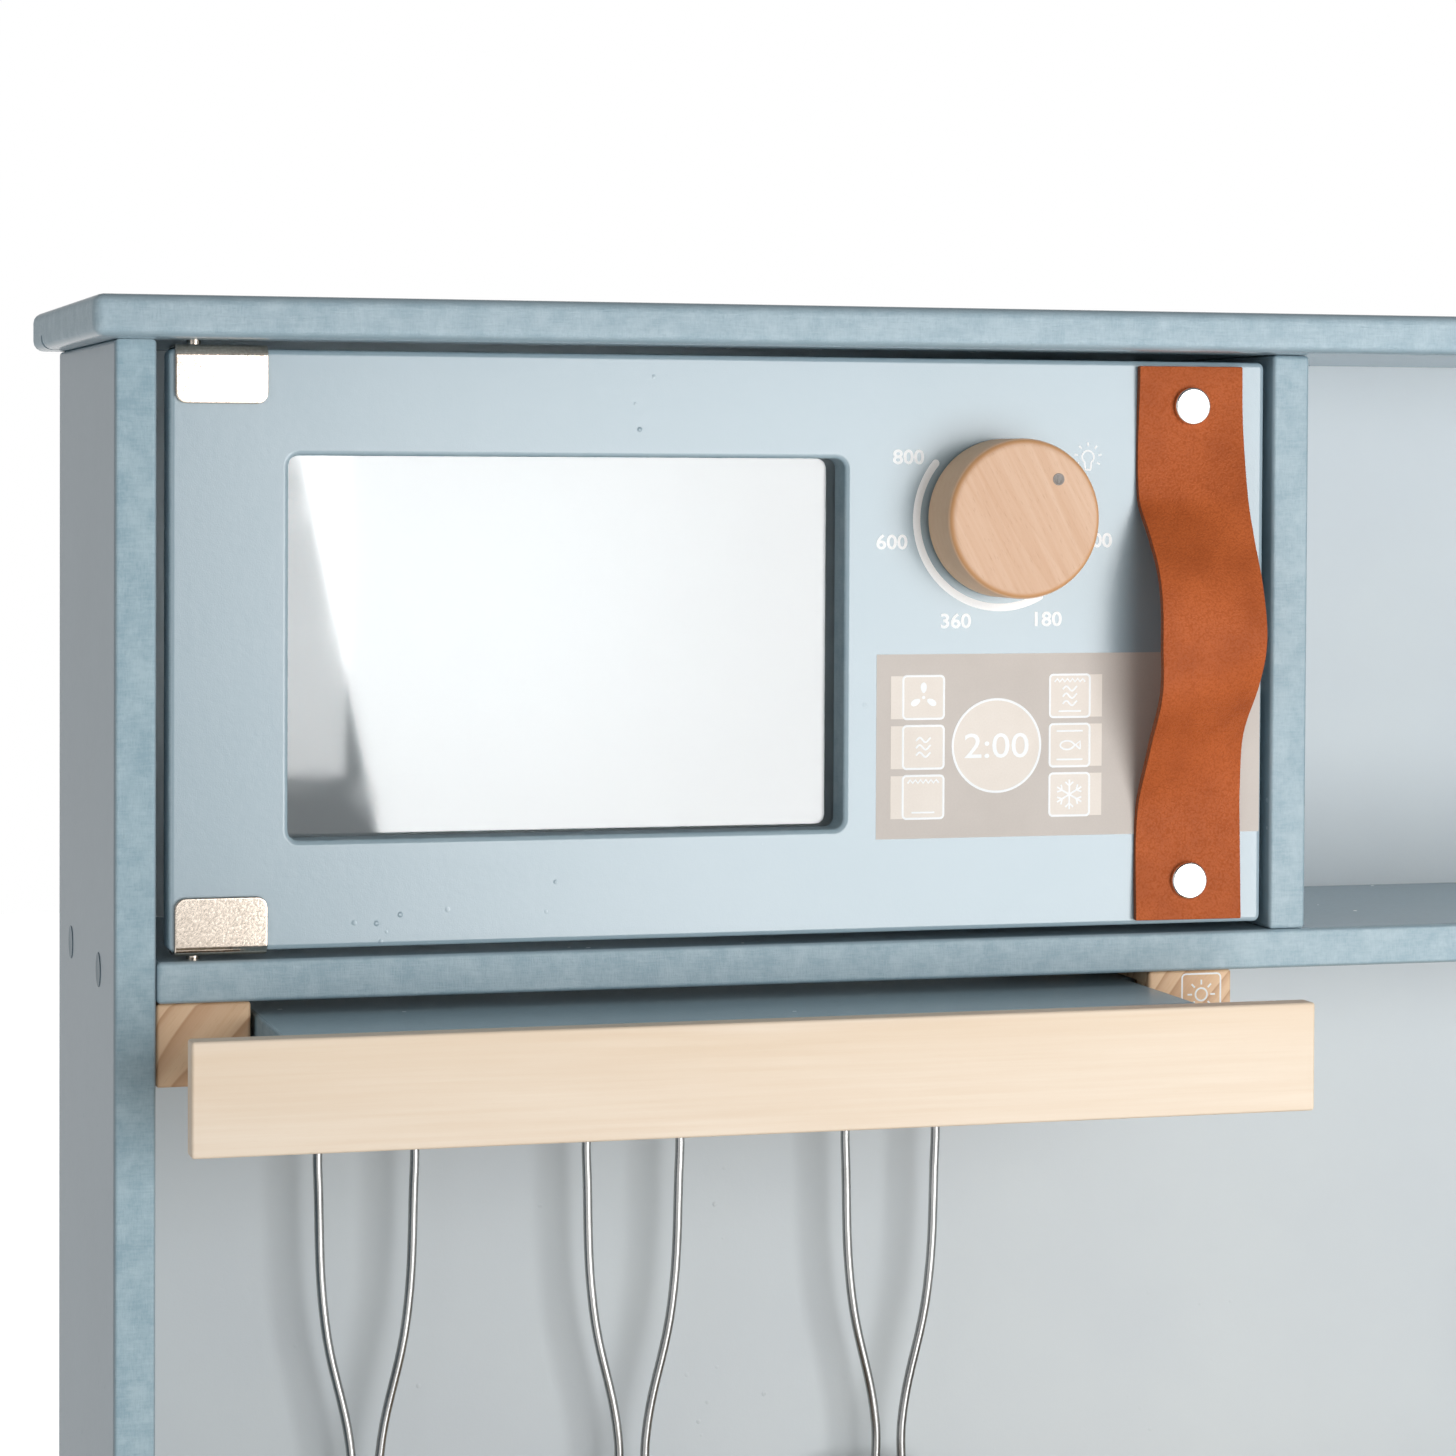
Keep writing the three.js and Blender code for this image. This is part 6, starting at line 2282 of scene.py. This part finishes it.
@dataclass
class Oven:
    """The oven's rack and the graphics round its knobs."""

    finishes: Finishes
    rack_radius: float = 0.002
    bar_share: float = 0.8
    rack_bars: int = 9
    tick_count: int = 9
    tick_start: float = 0.0262
    tick_end: float = 0.0285
    tick_width: float = 0.0007
    digit: float = 0.0034
    digit_weight: float = 0.02
    number_out: float = 0.035856
    sweep: float = math.radians(270)

    def build(self) -> None:
        """Build the rack and print the dials."""
        self.rack()
        press = Printer("cabinet", extent("control_board")[0].y)
        shapes = [shape for side in Side for shape in self.dial(press, middle("oven_knob_" + side.word))]
        press.lay("oven_dials", shapes, self.finishes.white_ink)

    def rack(self) -> None:
        """Build the wire rack."""
        low, high = extent("oven_rack")
        radius, z = self.rack_radius, (low.z + high.z) / 2
        corners = rectangle(low, high, radius)
        (left, near), (right, far) = corners[0], corners[2]
        shapes = [wire([(x, y, z) for x, y in corners], radius, False, 3, True)]
        for step in range(1, self.rack_bars + 1):
            x = left + (right - left) * step / (self.rack_bars + 1)
            shapes.append(wire([(x, near, z), (x, far, z)], radius * self.bar_share, False, 3))
        bm = joined(*shapes)
        settle("oven_rack_wire", bm, self.finishes.polished, "cabinet", Slot.STEEL, "oven_rack")

    def dial(self, press: Printer, centre: Vector) -> list[Shape]:
        """Draw the ticks and numbers round a knob.

        Args:
            press: The printer.
            centre: The knob's middle.
        Returns:
            The shapes.
        """
        shapes = []
        for step in range(self.tick_count):
            angle = HALF_TURN * 1.25 - self.sweep * step / (self.tick_count - 1)
            tick = ray((centre.x, centre.z), angle, self.tick_start, self.tick_end)
            if max(abs(up - centre.z) for _, up in tick) < self.tick_start:
                shapes.append(press.stroke(tick, self.tick_width))
        for text, way in (("50", -1), ("250", 1)):
            place = (centre.x + way * self.number_out, centre.z)
            shapes.append(press.words(text, place, self.digit, 1.0, self.digit_weight))
        return shapes


@dataclass(frozen=True)
class Lamp:
    """A soft rectangular lamp."""

    name: str
    place: Point
    aim: Point
    size: Flat
    power: float
    tilt: float = 0.0

    def light(self) -> None:
        """Put the lamp into the scene."""
        data = bpy.data.lights.new(self.name, "AREA")
        data.shape = "RECTANGLE"
        data.size, data.size_y = self.size
        data.energy = self.power
        lamp = hold(self.name, data)
        lamp.location = self.place
        aimed = (Vector(self.aim) - Vector(self.place)).to_track_quat("-Z", "Y").to_matrix()
        lamp.rotation_euler = (aimed @ Matrix.Rotation(self.tilt, 3, "Z")).to_euler()
        lamp.visible_camera = False


@dataclass
class Studio:
    """The camera, the pale floor and the soft lamps."""

    camera_place: Point = (-0.4970, -1.1132, 0.9021)
    yaw: float = 0.284918
    pitch: float = 0.024574
    roll: float = 0.0050338
    lens: float = 98.71
    sensor: float = 36.0
    shift: Flat = (-0.02739, -0.11003)
    floor_size: float = 14.0
    floor_colour: int = 0xEDEEEF
    floor_roughness: float = 0.9
    front_band: Flat = (-0.5, 0.2)
    height_band: Flat = (0.05, 0.7)
    world_level: float = 0.34
    zenith_level: float = 0.12
    front_level: float = 0.34
    near_glow: float = 0.62
    far_glow: float = 0.80
    glow_start: float = 0.5
    glow_end: float = 1.6
    lamps: tuple[Lamp, ...] = (
        Lamp("softbox", (0.3746, -1.15, 0.70), (0.3746, 0.0, 0.70), (0.85, 0.90), 12.4, math.radians(12.0)),
        Lamp("bounce_card", (-0.125, -1.35, 0.88), (-0.125, 0.0, 0.88), (0.17, 0.35), 0.55),
        Lamp("low_card", (-0.16, -1.35, 0.56), (-0.16, 0.0, 0.56), (0.26, 0.28), 0.07),
        Lamp("fill_lamp", (-2.1, -1.6, 1.3), (0.0, 0.0, 0.9), (1.4, 1.4), 4.2),
    )

    def build(self) -> None:
        """Build the studio."""
        self.camera()
        self.floor()
        self.world()
        for lamp in self.lamps:
            lamp.light()
        bpy.context.scene.view_settings.view_transform = "Standard"

    def camera(self) -> None:
        """Put the camera at the photograph's place and angle."""
        flat = math.cos(self.pitch)
        ahead = Vector((math.sin(self.yaw) * flat, math.cos(self.yaw) * flat, -math.sin(self.pitch)))
        level = Vector((math.cos(self.yaw), -math.sin(self.yaw), 0.0))
        raised = level.cross(ahead)
        right = level * math.cos(self.roll) + raised * math.sin(self.roll)
        up = raised * math.cos(self.roll) - level * math.sin(self.roll)
        data = bpy.data.cameras.new("photo_camera")
        data.sensor_width = self.sensor
        data.lens = self.lens
        data.shift_x, data.shift_y = self.shift
        camera = hold("photo_camera", data)
        turn = Matrix((right, up, -ahead)).transposed().to_4x4()
        camera.matrix_world = Matrix.Translation(self.camera_place) @ turn
        bpy.context.scene.camera = camera

    def floor(self) -> None:
        """Lay the pale floor, white to the camera but for the shadow on it."""
        bm = bmesh.new()
        bmesh.ops.create_grid(bm, x_segments=1, y_segments=1, size=self.floor_size / 2)
        material, net, shader = new_material("studio_floor")
        path = net.add("ShaderNodeLightPath").outputs
        mirrored = net.sum("MAXIMUM", path["Is Glossy Ray"], path["Is Transmission Ray"])
        seen = net.sum("MAXIMUM", path["Is Camera Ray"], mirrored)
        away = net.add("ShaderNodeVectorMath", {0: net.coordinates()}, operation="LENGTH").outputs["Value"]
        glow = net.span(away, self.glow_start, self.glow_end, self.near_glow, self.far_glow)
        net.feed(shader, {
            "Base Color": hue(self.floor_colour),
            "Roughness": self.floor_roughness,
            "Emission Color": hue(0xFFFFFF),
            "Emission Strength": net.times(seen, glow),
        })
        mesh = mesh_of(bm, "studio_floor")
        mesh.materials.append(material)
        hold("studio_floor", mesh)

    def world(self) -> None:
        """Light the world softly, and show it white to the camera, in gloss and through glass."""
        world = bpy.data.worlds.new("studio")
        world.use_nodes = True
        bpy.context.scene.world = world
        net = Net(world.node_tree)
        path = net.add("ShaderNodeLightPath").outputs
        ways = net.apart(net.coordinates("Generated"))
        depth = net.span(ways["Y"], *self.front_band, self.front_level, 1.0)
        height = net.times(depth, net.span(ways["Z"], *self.height_band, 1.0, self.zenith_level))
        shown = net.sum("MAXIMUM", path["Is Glossy Ray"], path["Is Transmission Ray"])
        mirrored = net.span(shown, 0.0, 1.0, self.world_level, height)
        level = net.sum("MAXIMUM", path["Is Camera Ray"], mirrored)
        net.feed(world.node_tree.nodes["Background"], {"Color": hue(0xFFFFFF), "Strength": level})


def main() -> None:
    """Build every sub-assembly in order."""
    logging.basicConfig(level=logging.INFO, format="%(message)s")
    Studio().build()
    finishes = Finishes(Effects())
    Carcass(finishes).build()
    Door(finishes, "microwave", "microwave_door").build()
    Door(finishes, "oven", "oven_door").build()
    Door(finishes, "cupboard", "cupboard_door", Side.RIGHT, glazed=False).build()
    Knob(finishes, "microwave_knob").build(extent("microwave_door")[0].y)
    dress("microwave_knob_spindle", finishes.polished)
    for side in Side:
        Knob(finishes, "oven_knob_" + side.word, shafted=True).build(extent("control_board")[0].y)
    MicrowaveFace(finishes).build()
    Hood(finishes).build()
    Utensils(finishes).build()
    Hob(finishes).build()
    Sink(finishes).build()
    Oven(finishes).build()


if __name__ == "__main__":
    main()
